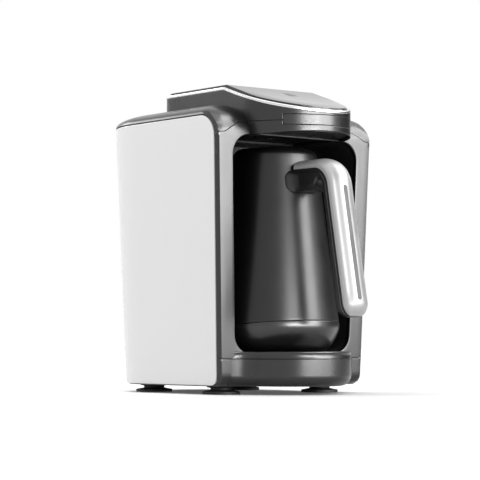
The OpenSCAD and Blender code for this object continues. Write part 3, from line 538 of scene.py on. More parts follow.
class BodyForm:
    """The housing's outer form: u runs round the plan from the middle of the front, v climbs from the
    underside over the shoulders."""

    def __init__(self):
        self.__dict__.update(vars(sizes("maker_body")))
        self.u1 = self.body_w / 2 - self.corner_r
        self.u2 = self.u1 + self.corner_r * math.pi / 2
        self.u3 = self.u2 + self.back_mid_y - self.corner_r
        self.u4 = self.u3 + math.pi / 2 * math.sqrt((self.body_w ** 2 / 4 + self.back_bulge ** 2) / 2)
        self.crown_h = self.crown_z - self.shoulder_z
        self.crown_run = math.pi / 2 * math.sqrt((self.crown_h ** 2 + self.crown_len ** 2) / 2)

    def half_w(self, z):
        """Half the width at a height, before the edges roll in."""
        return self.body_w / 2 - (self.shoulder_z - z) * math.tan(self.side_draft)

    def face_y(self, z):
        """How far back the leaning face stands at a height."""
        return (self.face_ref_z - z) * math.tan(self.front_draft)

    def roll_in(self, z):
        """How far the face has rolled back at a height."""
        return self.roll_len * sag(clamp((z - self.face_ref_z) / (self.crown_z - self.face_ref_z)))

    def level(self, v):
        """Height, side inset, front line, corner radius, half width and back radius at v."""
        inset, z = 0, v
        if v > self.shoulder_z:
            a = min((v - self.shoulder_z) / self.crown_run, 1) * math.pi / 2
            z = self.shoulder_z + self.crown_h * math.sin(a)
            inset = self.crown_len * (1 - math.cos(a)) + max(v - self.shoulder_z - self.crown_run, 0)
            roll = self.roll_in(z)
            soft = roll * (1 - math.sin(a))
        elif v > self.face_ref_z:
            roll = soft = self.roll_in(z)
        else:
            z = max(v, self.floor_z)
            under = max(self.floor_z - v, 0)
            roll, inset = (r * sag(clamp((self.floor_z + r - z) / r)) + under
                           for r in (self.foot_roll_r, self.foot_side_r))
            soft = roll
        hw = self.half_w(z) - inset
        rc = max(self.corner_r - inset, 1) + soft * 0.35
        back = self.back_bulge - (self.shoulder_z - z) * math.tan(self.back_draft) - inset
        return z, self.face_y(z) + roll, rc, hw, back

    def at(self, u, v):
        """The point of the outer face at u and v."""
        z, front, rc, hw, back = self.level(v)
        w = abs(u)
        if w <= self.u1:
            x, y = w / self.u1 * (hw - rc), front
        elif w <= self.u2:
            a = (w - self.u1) / (self.u2 - self.u1) * math.pi / 2
            x, y = hw - rc + rc * math.sin(a), front + rc - rc * math.cos(a)
        elif w <= self.u3:
            t = (w - self.u2) / (self.u3 - self.u2)
            x, y = hw, front + rc + t * (self.back_mid_y - front - rc)
        else:
            a = (w - self.u3) / (self.u4 - self.u3) * math.pi / 2
            x, y = hw * math.cos(a), self.back_mid_y + back * math.sin(a)
        return (math.copysign(x, u) if u else 0.0, y, z)

    def u_of_y(self, y, v):
        """The place round the side that lies at a distance behind the front face."""
        _, front, rc, _, _ = self.level(v)
        if y <= front:
            return self.u1
        if y < front + rc:
            return self.u1 + (self.u2 - self.u1) * math.acos(1 - (y - front) / rc) / (math.pi / 2)
        return self.u2 + (self.u3 - self.u2) * (y - front - rc) / (self.back_mid_y - front - rc)

    def u_of_x(self, x, v):
        """The place round the front at a distance from the middle plane."""
        _, _, rc, hw, _ = self.level(v)
        if x <= hw - rc:
            return self.u1 * x / (hw - rc)
        return self.u1 + (self.u2 - self.u1) * math.asin(min((x - hw + rc) / rc, 1)) / (math.pi / 2)

    def u_of_rear(self, x, v):
        """The place on the rounded back at a distance from the middle plane."""
        return self.u3 + (self.u4 - self.u3) * math.acos(x / self.level(v)[3]) / (math.pi / 2)


def panel_side_view(body, panel, grow):
    """The panel's front edge, from its foot to its top, as (behind the face, height)."""
    lean = math.tan(body.front_draft)
    top = body.shoulder_z - panel.groove + grow
    foot = body.floor_z + panel.foot_h - grow
    rt, rf = panel.top_r + grow, panel.foot_r + grow
    edge_top = panel.front_in - grow + (body.face_ref_z - top + rt) * lean
    edge_foot = panel.front_in - grow + (body.face_ref_z - foot - rf) * lean
    return arc(edge_foot + rf, foot + rf, rf, 270, 180, 8), arc(edge_top + rt, top - rt, rt, 180, 90, 12)


def cheek_seam(body, head, drop):
    """The frame's upper seam from the corner to the head, as (from the middle, height)."""
    rise = [(body.body_w / 2 - 0.6, -0.1), *CHEEK, (head.head_r, 11)]
    return [(x, body.face_ref_z + h + drop) for x, h in rise]


class HeadForm:
    """The head's plan: s runs round its wall from the middle of the nose, t lies inside the wall."""

    def __init__(self):
        self.__dict__.update(vars(sizes("maker_head")))
        self.s1 = self.head_r * math.pi / 2
        self.s2 = self.s1 + self.back_y - self.back_corner_r - self.centre_y
        self.s3 = self.s2 + self.back_corner_r * math.pi / 2
        self.s4 = self.s3 + self.head_r - self.back_corner_r

    def brow(self, y):
        """Height of the wall's upper edge at y."""
        drop = max(self.brow_y - y, 0)
        return self.top_z - self.slope * drop + self.curve * drop * drop

    def plan(self, s, t=0.0):
        """The plan's point at s, t inside the wall's outer face."""
        w, r, rc = abs(s), self.head_r - t, max(self.back_corner_r - t, 0.5)
        if w <= self.s1:
            a = w / self.head_r
            x, y = r * math.sin(a), self.centre_y - r * math.cos(a)
        elif w <= self.s2:
            x, y = r, self.centre_y + w - self.s1
        elif w <= self.s3:
            a = (w - self.s2) / self.back_corner_r
            x, y = r - rc + rc * math.cos(a), self.back_y - t - rc + rc * math.sin(a)
        else:
            x, y = (r - rc) * (self.s4 - w) / (self.s4 - self.s3), self.back_y - t
        return math.copysign(x, s) if s else 0.0, y

    def wall_at(self, s, z):
        """The point of the wall's outer face at s and a height."""
        return (*self.plan(s), z)

    def ring(self, step):
        """Places round the whole head, closer together where it curves."""
        out = []
        for a, b, fine in ((0, self.s1, 0.5), (self.s1, self.s2, 1), (self.s2, self.s3, 0.2),
                           (self.s3, self.s4, 1)):
            n = math.ceil((b - a) / (step * fine))
            out += [a + (b - a) * i / n for i in range(n)]
        return out + [self.s4] + [-s for s in out[:0:-1]]

    def outline(self, t, step):
        """The plan's whole loop, t inside the wall's outer face."""
        return [self.plan(s, t) for s in self.ring(step)]


class PotForm:
    """The pot's outer form by height."""

    def __init__(self):
        self.__dict__.update(vars(sizes("maker_pot")))
        self.seam = self.foot_z + self.seam_h
        self.top = self.foot_z + self.height
        self.roll = self.top - self.roll_r

    def side(self, z):
        """Radius of the tapered side."""
        return self.widest_r - (self.widest_r - self.neck_r) * (z - self.seam) / (self.roll - self.seam)


# ---------------------------------------------------------------- finishes
def add(tree, kind, inputs=None, **settings):
    """Adds a node with its settings, and its inputs as values or links."""
    made = tree.nodes.new(kind)
    for key, value in settings.items():
        setattr(made, key, value)
    for key, value in (inputs or {}).items():
        if isinstance(value, bpy.types.NodeSocket):
            tree.links.new(value, made.inputs[key])
        else:
            made.inputs[key].default_value = value
    return made


# The middle part of a noise, which is spread over a finish's range
NOISE_LOW, NOISE_HIGH = 0.3, 0.7
# Size of the patches over which the roughness varies
WEAR_MM = 35


def new_material(name):
    """An empty material: itself and its tree."""
    made = bpy.data.materials.new(name)
    made.use_nodes = True
    made.node_tree.nodes.clear()
    return made, made.node_tree


def finish_of(name, colour, grain_mm, grain, bump, bump_mm, roughness, wear=0.1, stretch=(1, 1, 1),
              **shader):
    """A finish with its colour varied by a fine grain, its roughness by a coarser one, and a slight relief.

    grain_mm is the size of the colour grain and bump_mm that of the relief; wear is the share by which the
    roughness varies; stretch draws the relief out along an axis, as turning or brushing does.
    """
    _, tree = new_material(name)
    where = add(tree, "ShaderNodeTexCoord").outputs["Object"]
    drawn = add(tree, "ShaderNodeMapping", {"Vector": where, "Scale": stretch}).outputs["Vector"]
    tone, worn, relief = (
        add(tree, "ShaderNodeTexNoise", {"Vector": at, "Scale": 1000 / size, "Detail": detail}).outputs["Fac"]
        for at, size, detail in ((where, grain_mm, 3.0), (where, WEAR_MM, 2.0), (drawn, bump_mm, 2.0)))
    tone, worn = (
        add(tree, "ShaderNodeMapRange", {
            "Value": value, "From Min": NOISE_LOW, "From Max": NOISE_HIGH, "To Min": middle * (1 - share),
            "To Max": middle * (1 + share)}).outputs["Result"]
        for value, middle, share in ((tone, 1, grain), (worn, roughness, wear)))
    shaded = add(tree, "ShaderNodeVectorMath", {0: colour[:3], 3: tone}, operation="SCALE")
    dent = add(tree, "ShaderNodeBump", {"Height": relief, "Strength": bump, "Distance": bump_mm * MM})
    shell = add(tree, "ShaderNodeBsdfPrincipled", {"Base Color": shaded.outputs["Vector"], "Roughness": worn,
                                                   "Normal": dent.outputs["Normal"]})
    for key, value in shader.items():
        shell.inputs["IOR" if key == "ior" else key.replace("_", " ").title()].default_value = value
    add(tree, "ShaderNodeOutputMaterial", {"Surface": shell.outputs["BSDF"]})


# Each finish: its colour as a hex value or a property of Finishes, the size of its colour grain, how much
# that varies, the strength of its relief and its size, the roughness, and what differs from plain plastic.
# Grains finer than the picture can show are drawn a little coarser than the real ones
FINISHES = {
    # Metallic lacquer sprayed over moulded ABS: a broad soft gloss, with flake that glitters faintly
    "metallic_lacquer_on_abs": ("gunmetal", 0.5, 0.09, 0.035, 0.6, 0.3, dict(
        metallic=0.95, coat_weight=0.1, coat_roughness=0.15)),
    # Injection-moulded gloss ABS: even white, with the slight waviness of a polished mould
    "moulded_gloss_white_abs": ("panel", 1.2, 0.004, 0.001, 9, 0.27, dict(wear=0.008, ior=1.53)),
    # Bright-anodised aluminium of the rim: pale silver, with a very fine grain
    "bright_anodised_aluminium": ("bright", 0.3, 0.03, 0.03, 0.3, 0.24, dict(metallic=1.0)),
    # Polished black ABS: deep, with a mirror-like coat
    "polished_black_abs": ("black", 1.0, 0.05, 0.01, 5, 0.16, dict(ior=1.5)),
    # Fine-etched black PP of the parts over the steam: nearly black, with a dull sheen
    "etched_black_pp": ("#101011", 0.6, 0.08, 0.15, 0.5, 0.5, dict(ior=1.49)),
    # Spun steel under a dark ceramic coating: its lathe lines run round the pot
    "dark_coated_spun_steel": ("pot", 0.4, 0.03, 0.03, 0.5, 0.35, dict(
        stretch=(0.05, 0.05, 1), metallic=0.95, coat_weight=0.1, coat_roughness=0.2)),
    # Moulded dark nylon of the cup under the pot: dark grey, with a soft gloss like the pot's
    "dark_gloss_nylon": ("#444444", 0.5, 0.05, 0.02, 1.2, 0.3, dict(
        metallic=0.9, coat_weight=0.1, coat_roughness=0.2)),
    # Silver lacquer over a moulded cover: pale and satin, without a sharp reflection
    "satin_silver_lacquer": ("#b4b4b4", 0.5, 0.02, 0.02, 0.7, 0.42, dict(
        metallic=0.15, coat_weight=0.1, coat_roughness=0.2)),
    # Spark-eroded ABS of the grip: satin black, with a fine tooth
    "etched_satin_abs": ("handle", 0.5, 0.06, 0.12, 0.45, 0.42, dict(ior=1.53)),
    # Moulded TPE strip let into the handle's cover: dull, without a shine
    "charcoal_inlay_tpe": ("#303030", 0.5, 0.06, 0.1, 0.4, 0.55, {}),
    # Moulded rubber: matt, with a fine bloom
    "moulded_rubber": ("#151515", 0.7, 0.1, 0.2, 0.5, 0.62, {}),
    # Moulded ABS of the inner housing: dull dark grey, seen only in its grooves
    "moulded_dark_abs": ("#3a3b3d", 0.6, 0.06, 0.1, 0.7, 0.45, dict(ior=1.53)),
    # Plain moulded PP of hidden fittings: dull and dark
    "moulded_dark_pp": ("#262626", 0.6, 0.06, 0.15, 0.8, 0.5, {}),
    # Graphite-anodised aluminium of the blank badge: dark, with fine brushed lines along its length
    "graphite_anodised_aluminium": ("#434343", 0.3, 0.05, 0.06, 0.35, 0.3, dict(
        stretch=(0.06, 0.06, 1), metallic=0.95)),
    # Tinted, polished polycarbonate: nearly black until light falls through it
    "dark_red_polycarbonate": ("#40282c", 2, 0.02, 0.01, 2, 0.08, dict(transmission_weight=0.5, ior=1.58)),
    # Solder resist over glass-fibre board: green, with a slightly uneven gloss
    "solder_resist_fr4": ("#1d5c34", 1.6, 0.2, 0.2, 1.1, 0.3, {}),
    # Pressed and fired steatite: cream-coloured and dry
    "steatite_ceramic": ("#e8e2d2", 0.4, 0.03, 0.08, 0.3, 0.6, {}),
    # Thin gold over turned brass: bright and warm
    "gold_plated_brass": ("#d0a850", 0.3, 0.04, 0.02, 0.3, 0.22, dict(metallic=1.0)),
    # Drawn steel wire: bright and clean
    "drawn_spring_steel": ("#b9b9b9", 0.3, 0.05, 0.05, 0.2, 0.3, dict(metallic=1.0)),
    # Zinc over pressed steel: a bluish grey with a soft shine
    "zinc_plated_steel": ("#bfc0c2", 0.8, 0.08, 0.04, 0.4, 0.35, dict(metallic=1.0)),
    # Aluminium as it is cast: pale grey and grainy
    "cast_aluminium": ("#9a9a9a", 0.8, 0.08, 0.2, 0.8, 0.5, dict(metallic=1.0)),
    # Moulded PBT: dark blue and satin
    "relay_case_pbt": ("#1f2a3a", 0.5, 0.05, 0.1, 0.6, 0.4, {}),
    # Polyester tape under varnish: amber, with faint lines and an uneven gloss
    "varnished_winding_tape": ("#b58a2b", 0.6, 0.12, 0.2, 0.5, 0.35, dict(stretch=(0.1, 1, 1))),
    # Black acrylic: mirror-smooth, with a hard clear coat
    "polished_black_acrylic": ("#19191b", 1.0, 0.02, 0.004, 8, 0.12, dict(
        ior=1.49, coat_weight=0.3, coat_roughness=0.05)),
}


def finishes():
    """Every finish of the maker by name, made once."""
    if next(iter(FINISHES)) not in bpy.data.materials:
        tone = bpy.context.scene.maker_finish
        for name, (colour, *measures, more) in FINISHES.items():
            finish_of(name, linear(colour) if colour[0] == "#" else getattr(tone, colour), *measures, **more)
    return {m.name: m for m in bpy.data.materials}


# ---------------------------------------------------------------- operators
class MAKER_OT_side_panels(bpy.types.Operator):
    """Build the two white clip-on side panels"""

    bl_idname = "maker.side_panels"
    bl_label = "Side panels"

    def execute(self, context):
        body, panel = BodyForm(), sizes("maker_panel")
        foot, top = panel_side_view(body, panel, 0)
        rear = panel.rear_half_w + panel.seam
        edge = [(body.u_of_y(y, z), z) for y, z in foot + top]
        low, high = foot[0][1], top[-1][1]
        back = [(body.u_of_rear(rear, z), z) for z in np.linspace(high, low, 40)]
        for side, mirror in (("left", -1), ("right", 1)):
            loop = [(mirror * u, z) for u, z in edge + back]
            piece = skin(f"panel_{side}", normal_surface(body.at), [
                {"points": loop, "depth": panel.thickness, "edge": panel.edge_r, "step": 2.5}], 4)
            place(piece, "housing", "moulded_gloss_white_abs", f"side_panel_{side}")
        return {"FINISHED"}


class MAKER_OT_rear_strip(bpy.types.Operator):
    """Build the strip between the panels at the back"""

    bl_idname = "maker.rear_strip"
    bl_label = "Rear strip"

    def execute(self, context):
        body, panel = BodyForm(), sizes("maker_panel")
        half = panel.rear_half_w - panel.seam
        heights = np.linspace(body.floor_z + panel.foot_h, body.shoulder_z - panel.groove, 40)

        def at(x, z):
            across, y, z = body.at(body.u_of_rear(abs(x), z), z)
            return math.copysign(across, x) if x else 0.0, y, z

        loop = [(-half, z) for z in heights] + [(half, z) for z in heights[::-1]]
        gland = arc(0, GLAND_Z, GLAND_R, 0, 350, 35)
        piece = skin("rear_strip_skin", normal_surface(lambda x, z: at(-x, z)), [
            {"points": loop, "depth": panel.thickness, "edge": panel.edge_r, "step": 2.5},
            {"points": gland, "depth": panel.thickness, "edge": 0.3, "step": 1.2, "hole": True}], 4)
        place(piece, "housing", "metallic_lacquer_on_abs", "rear_strip")
        return {"FINISHED"}


def niche_loop(niche):
    """The niche's opening, as (from the middle, height)."""
    def half(z):
        return niche.width / 2 - (NICHE_WIDTH_Z - z) * math.tan(niche.draft)
    r0, r1 = niche.foot_r, niche.top_r
    x0, x1 = half(niche.floor_z + r0), half(niche.top_z - r1)
    right = arc(x0 - r0, niche.floor_z + r0, r0, 270, 360, 10) + arc(x1 - r1, niche.top_z - r1, r1, 0, 90, 10)
    return mirrored(right)


class MAKER_OT_front_frame(bpy.types.Operator):
    """Build the front frame: its face round the niche, the head's skirt and the stand's band"""

    bl_idname = "maker.front_frame"
    bl_label = "Front frame"

    def execute(self, context):
        body, head, panel = BodyForm(), HeadForm(), sizes("maker_panel")
        niche = sizes("maker_niche")
        gap = panel.seam / 2
        seam = cheek_seam(body, head, -gap)

        def side_u(z):
            return body.u_of_y(body.level(z)[1] + body.frame_d, z)

        low = body.base_seam_z + gap
        right = [(side_u(z), z) for z in np.linspace(low, seam[0][1], 60)]
        right += [(body.u_of_x(x, z), z) for x, z in seam[1:]]
        hole = [(math.copysign(body.u_of_x(abs(x), z), x), z) for x, z in niche_loop(niche)]
        face = skin("frame_face", normal_surface(body.at), [
            {"points": mirrored(right), "depth": head.wall, "edge": 0.35, "step": 2},
            {"points": hole, "depth": body.frame_d - 0.1, "edge": niche.edge_r, "step": 1.6,
             "hole": True}], 3)

        # the skirt: an arched lower edge, and a notch for the badge
        reach = head.head_r * math.acos((head.centre_y - body.frame_d) / head.head_r)
        rise, r = head.lip_rise, head.head_r
        arch_r = (r * r + rise * rise) / (2 * rise)
        arch_z = head.lip_z + rise - arch_r
        lower = [(s, arch_z + math.sqrt(arch_r ** 2 - head.plan(s)[0] ** 2))
                 for s in np.linspace(-reach, reach, 90)]
        notch = head.head_r * math.asin(head.badge_w / 2 / head.head_r)
        upper = [(reach, head.seam_z - gap), (notch, head.seam_z - gap), (notch, head.badge_z),
                 (-notch, head.badge_z), (-notch, head.seam_z - gap), (-reach, head.seam_z - gap)]
        skirt = skin("frame_skirt", normal_surface(head.wall_at), [
            {"points": lower + upper, "depth": head.wall, "edge": 0.5, "step": 1.5}], 2.5)

        # the band round the stand, slightly hollow between its two edges
        z0, z1 = low, BAND_TOP_Z
        section = [(0.15, z0), (0, z0 + 0.2), (0.25, z0 + 1.4), (0.5, z0 + 2.8), (0.25, z0 + 4.2),
                   (0, z1 - 0.9), (0.1, z1 - 0.4), (0.35, z1 - 0.12), (0.8, z1), (2.3, z1), (2.5, z1 - 0.2),
                   (2.5, z0)]
        band = swept_nose("frame_band", head, body, section)
        piece = joined("front_frame_skin", [face, skirt, band])
        place(piece, "housing", "metallic_lacquer_on_abs", "front_frame")
        return {"FINISHED"}


def groove_edge_y(body, panel, top, z):
    """How far behind the face the front edge of a panel's groove lies at z, from its upper corner's arc."""
    y, start = top[0]
    if z < start:
        return y + (start - z) * math.tan(body.front_draft)
    r = panel.top_r + panel.groove
    centre = panel.front_in + panel.top_r + 0.05
    return centre - math.sqrt(max(r * r - (z - start) ** 2, 0))


class MAKER_OT_top_cover(bpy.types.Operator):
    """Build the top cover: shoulders that roll over on every side, and the head's wall"""

    bl_idname = "maker.top_cover"
    bl_label = "Top cover"

    def execute(self, context):
        body, head, panel = BodyForm(), HeadForm(), sizes("maker_panel")
        gap = panel.seam / 2
        seam = cheek_seam(body, head, gap)
        _, top = panel_side_view(body, panel, panel.groove)
        rise = [(body.u_of_y(y, z), z) for y, z in top if z > seam[0][1] and z < body.shoulder_z + gap]
        corner = seam[0][1]
        start = [(body.u_of_y(groove_edge_y(body, panel, top, corner), corner), corner)]
        front = [(body.u_of_x(x, z), z) for x, z in reversed(seam)]
        line, end = body.shoulder_z + gap, body.shoulder_z + body.crown_run + CROWN_UNDER
        right = [(0.0, front[0][1])] + front + start + rise
        right += [(body.u4, line + (end - line) * i / 30) for i in range(31)]
        crown = skin("cover_crown", normal_surface(body.at), [
            {"points": mirrored(right)[:-1], "depth": head.wall, "edge": 0.4, "step": 2.5}], 4,
            join=lambda p: abs(abs(p[0]) - body.u4) < 1e-6)

        notch = head.head_r * math.asin(head.badge_w / 2 / head.head_r)
        low = head.seam_z + gap
        ledge = head.badge_z + head.badge_h
        half = [(0.0, ledge), (notch, ledge), (notch, low), (head.s4, low)]
        half += [(s, head.brow(head.plan(s)[1])) for s in np.linspace(head.s4, 0, 160)]
        wall = skin("cover_wall", normal_surface(head.wall_at), [
            {"points": half + [(-s, z) for s, z in reversed(half[1:-1])], "depth": head.wall, "edge": 0.3,
             "step": 2}], 3, join=lambda p: abs(abs(p[0]) - head.s4) < 1e-6)
        piece = joined("top_cover_skin", [crown, wall])
        place(piece, "housing", "metallic_lacquer_on_abs", "top_cover")
        return {"FINISHED"}


class MAKER_OT_head_trim(bpy.types.Operator):
    """Build the bright rim, the touch plate and the blank badge"""

    bl_idname = "maker.head_trim"
    bl_label = "Head trim"

    def execute(self, context):
        head = HeadForm()
        h, w = head.rim_h, head.rim_w
        # across the rim: its rounded top, and the flange under the plate
        section = [(-0.3, 0.5), (-0.3, h - 1.1), (-0.1, h - 0.5), (0.3, h - 0.1), (0.8, h), (w - 0.5, h),
                   (w - 0.15, h - 0.12), (w, h - 0.45), (w, 1.5), (w + 2, 1.4), (w + 2, 0.1), (-0.1, 0.1)]
        rings = []
        for s in head.ring(2):
            level = head.brow(head.plan(s)[1])
            rings.append([(*head.plan(s, t), level + up) for t, up in section])
        rim = stack("rim", rings, closed=True)
        place(rim, "housing", "bright_anodised_aluminium", "head_rim")

        def top_at(x, y):
            """The plate's top, which falls away a little towards the nose and dips at the touch spot."""
            inward = head.head_r - w - 0.2 - math.hypot(x, min(y - head.centre_y, 0))
            spot = min(math.hypot(x - TOUCH_SPOT[0], y - TOUCH_SPOT[1]) / TOUCH_SPOT_R, 1)
            dish = TOUCH_SPOT_DEPTH * (1 + math.cos(math.pi * spot)) / 2
            fall = PLATE_FALL * max(1 - inward / PLATE_FALL_W, 0) ** 2 * clamp((head.centre_y + 8 - y) / 20)
            return x, y, head.brow(y) + h + head.plate_proud - fall - dish

        plate = skin("touch_plate", normal_surface(top_at), [
            {"points": head.outline(w + 0.2, 2), "depth": h + head.plate_proud - 1.5, "edge": 0.4,
             "step": 1.5}], 1.5)
        place(plate, "housing", "polished_black_acrylic", "control_plate")

        half = head.head_r * math.asin(head.badge_w / 2 / head.head_r) - 0.2
        loop = round_box(half, head.badge_z + 0.2, head.badge_z + head.badge_h - 0.2, 1.6, 6)
        badge = skin("blank_badge", normal_surface(lambda s, z: (*head.plan(s, 0.1), z)), [
            {"points": loop, "depth": 1.0, "edge": 0.35, "step": 1.2}], 2)
        place(badge, "housing", "graphite_anodised_aluminium", "badge_plate")
        return {"FINISHED"}


def nose_ring(head, body, t, z):
    """Plan of the base's nose at height z, t inside its outer face: an arc between two hollow corners."""
    f = body.nose_fillet_r
    yf = body.face_y(max(z, body.floor_z + body.foot_roll_r))
    cy = yf - f
    cx = math.sqrt((head.head_r + f) ** 2 - (head.centre_y - cy) ** 2)
    lean = math.degrees(math.atan2(cy - head.centre_y, cx))
    right = arc(cx, cy, f + t, 90, 180 + lean, 10)
    nose = arc(0, head.centre_y, head.head_r - t, lean, -90, 70)[1:]
    half = right + nose
    return half + [(-x, y) for x, y in reversed(half[:-1])]


def swept_nose(name, head, body, section):
    """A solid along the nose's plan from a closed section of (depth inside the face, height)."""
    levels = [nose_ring(head, body, t, z) for t, z in section]
    return stack(name, [[(*level[k], z) for level, (_, z) in zip(levels, section)]
                        for k in range(len(levels[0]))])


class MAKER_OT_base_front(bpy.types.Operator):
    """Build the front of the base with its round nose"""

    bl_idname = "maker.base_front"
    bl_label = "Base front"

    def execute(self, context):
        body, head, panel = BodyForm(), HeadForm(), sizes("maker_panel")
        high = body.base_seam_z - panel.seam / 2
        # the face rolls under, and runs back below to the base plate
        under = body.floor_z - (BASE_PLATE_Y - body.level(body.floor_z)[1])

        def side_u(v):
            return body.u_of_y(min(body.level(v)[1] + body.frame_d, BASE_PLATE_Y - 0.1), v)

        right = [(side_u(v), v) for v in np.linspace(under, high, 40)]
        face = skin("base_face", normal_surface(body.at), [
            {"points": mirrored(right), "depth": head.wall, "edge": 0.35, "step": 2}], 3)
        e, z0, wall = body.foot_roll_r, body.floor_z, head.wall
        section = [(e, z0)] + [(e - e * math.sin(k), z0 + e - e * math.cos(k))
                               for k in np.linspace(0.1, math.pi / 2, 10)]
        section += [(0, high - 0.3), (0.3, high), (wall, high), (wall, z0 + e), (e, z0 + wall)]
        nose = swept_nose("base_nose", head, body, section)
        loop = nose_ring(head, body, e - 0.3, z0)
        loop += [(loop[-1][0], BASE_PLATE_Y - 0.2), (loop[0][0], BASE_PLATE_Y - 0.2)]
        foot = stack("base_nose_foot", [[(x, y, h) for x, y in loop] for h in (z0 - 0.04, z0 + wall)])
        piece = joined("base_front_skin", [face, nose, foot])
        place(piece, "housing", "metallic_lacquer_on_abs", "base_front")
        return {"FINISHED"}


class MAKER_OT_pot(bpy.types.Operator):
    """Build the pot's metal body and the cup under it"""

    bl_idname = "maker.pot"
    bl_label = "Pot"

    def execute(self, context):
        pot = PotForm()
        z, seam, top, roll, side = pot.foot_z, pot.seam, pot.top, pot.roll, pot.side
        mouth, floor = pot.neck_r - pot.roll_r, z + pot.floor_h
        spigot = pot.widest_r - SPIGOT_IN
        bowl = [(r, z + h) for r, h in BOWL]
        bowl_r, bowl_z = bowl[-1]

        def outline(h):
            """Radius of the pot at a height over the bowl."""
            share = (h - bowl_z) / (seam - bowl_z)
            if share > 1:
                return side(h)
            return bowl_r + (pot.widest_r - bowl_r) * math.sin(share * math.pi / 2)

        def tilt(r, a):
            """How far the seam lies over its middle height, a turns from the front."""
            return r * math.cos(a) * math.tan(pot.seam_tilt)

        def turned_by(section):
            """A closed solid round the pot's axis, from the section at each turn."""
            rings = []
            for i in range(pot.steps):
                a = 2 * math.pi * i / pot.steps
                rings.append([(r * math.sin(a), POT_Y - r * math.cos(a), h) for r, h in section(a)])
            return rings

        def metal_section(a):
            low = seam + 0.15 + tilt(pot.widest_r, a)
            outer = [(outline(z) - (0.35 if k == 0 else 0.1 if k == 1 else 0), z)
                     for k, z in enumerate((low, low + 0.15, low + 0.5, low + 2.5, low + 5, low + 9))]
            outer += [(side(z), z) for z in np.linspace(low + 20, roll - 1, 12)]
            outer += arc(mouth, roll, pot.roll_r, 12, 90, 10)
            outer += [(mouth - x, top - z) for x, z in ((0.5, 0.12), (0.7, 0.5), (0.6, 1.0), (0.1, 1.35))]
            outer += arc(mouth, roll, pot.roll_r - pot.wall, 80, 10, 8)
            outer += [(side(z) - pot.wall, z) for z in np.linspace(roll - 2, floor + 8, 10)]
            outer += arc(side(floor + 6) - pot.wall - 6, floor + 6, 6, 0, -90, 6)
            return outer + [(20, floor), (1.0, floor), (1.0, floor - pot.wall), (spigot, floor - pot.wall),
                            (spigot, low)]

        metal = stack("pot_metal", turned_by(metal_section), closed=True)
        close_poles(metal, 1.5, (0, FRONT_Y + POT_Y))
        place(metal, "pot", "dark_coated_spun_steel", "pot_body", crease=50)

        def cup_section(a):
            high = seam - 0.15 + tilt(pot.widest_r, a)
            rise = [bowl_z + (high - 0.6 - bowl_z) * k / 5 for k in range(1, 6)]
            return bowl + [(outline(h), h) for h in rise] + [
                (outline(high) - 0.12, high - 0.15), (outline(high) - 0.4, high), (spigot - 0.3, high),
                (spigot - 0.3, z + 14), (39.5, z + 3), (17.2, z + 3), (17.2, z)]

        cup = stack("pot_cup", turned_by(cup_section), closed=True)
        place(cup, "pot", "dark_gloss_nylon", "pot_base_cup", crease=50)
        return {"FINISHED"}


def close_poles(piece, limit, middle):
    """Draws the points round a turned piece's axis together, so that no hole is left at its middle."""
    x, y = (c * MM for c in middle)
    for v in piece.data.vertices:
        if math.hypot(v.co.x - x, v.co.y - y) < limit * MM:
            v.co.x, v.co.y = x, y
    tidy_mesh(piece)


class HandleForm:
    """The handle's path over the bend and down the grip: s runs along its outer face."""

    def __init__(self):
        self.__dict__.update(vars(sizes("maker_handle")))
        self.top_run = HANDLE_TOP_RUN
        self.grip_s = self.top_run + self.bend_r * (math.pi / 2 - self.lean)
        self.tip_s = self.grip_s + self.grip_len

    def turn(self, s):
        """The spine's turn at s."""
        return clamp((s - self.top_run) / self.bend_r, 0, math.pi / 2 - self.lean)

    def spine(self, s):
        """The outer face's middle line at s, from the pot's axis."""
        a, run, drop = self.turn(s), min(s - self.top_run, 0), max(s - self.grip_s, 0)
        return (-self.bend_y - run - self.bend_r * math.sin(a) - drop * math.sin(self.lean),
                self.top_z - self.bend_r * (1 - math.cos(a)) - drop * math.cos(self.lean))

    def ring(self, s, section):
        """A ring across the handle at s, from points (across, depth under the outer face)."""
        (y, z), a = self.spine(s), self.turn(s)
        return [(x, POT_Y + y + d * math.sin(a), z - d * math.cos(a)) for x, d in section]

    def tip_in(self, s):
        """How far the outline has drawn in at the rounded tip."""
        over = max(s - self.tip_s, 0)
        return 11 * (1 - math.sqrt(max(1 - (over / 10.6) ** 2, 0))) * 0.8 + 0.12 * over

    def depth(self, s):
        """Depth of the whole handle, from the root over the bend to the tip."""
        grip = [(self.grip_s, 17.8), (self.grip_s + 34, 18.2), (self.grip_s + 68, 19.6)]
        marks = [*ROOT_DEPTHS, *grip, *((self.tip_s + over, depth) for over, depth in TIP_DEPTHS)]
        return float(np.interp(s, *zip(*marks)))


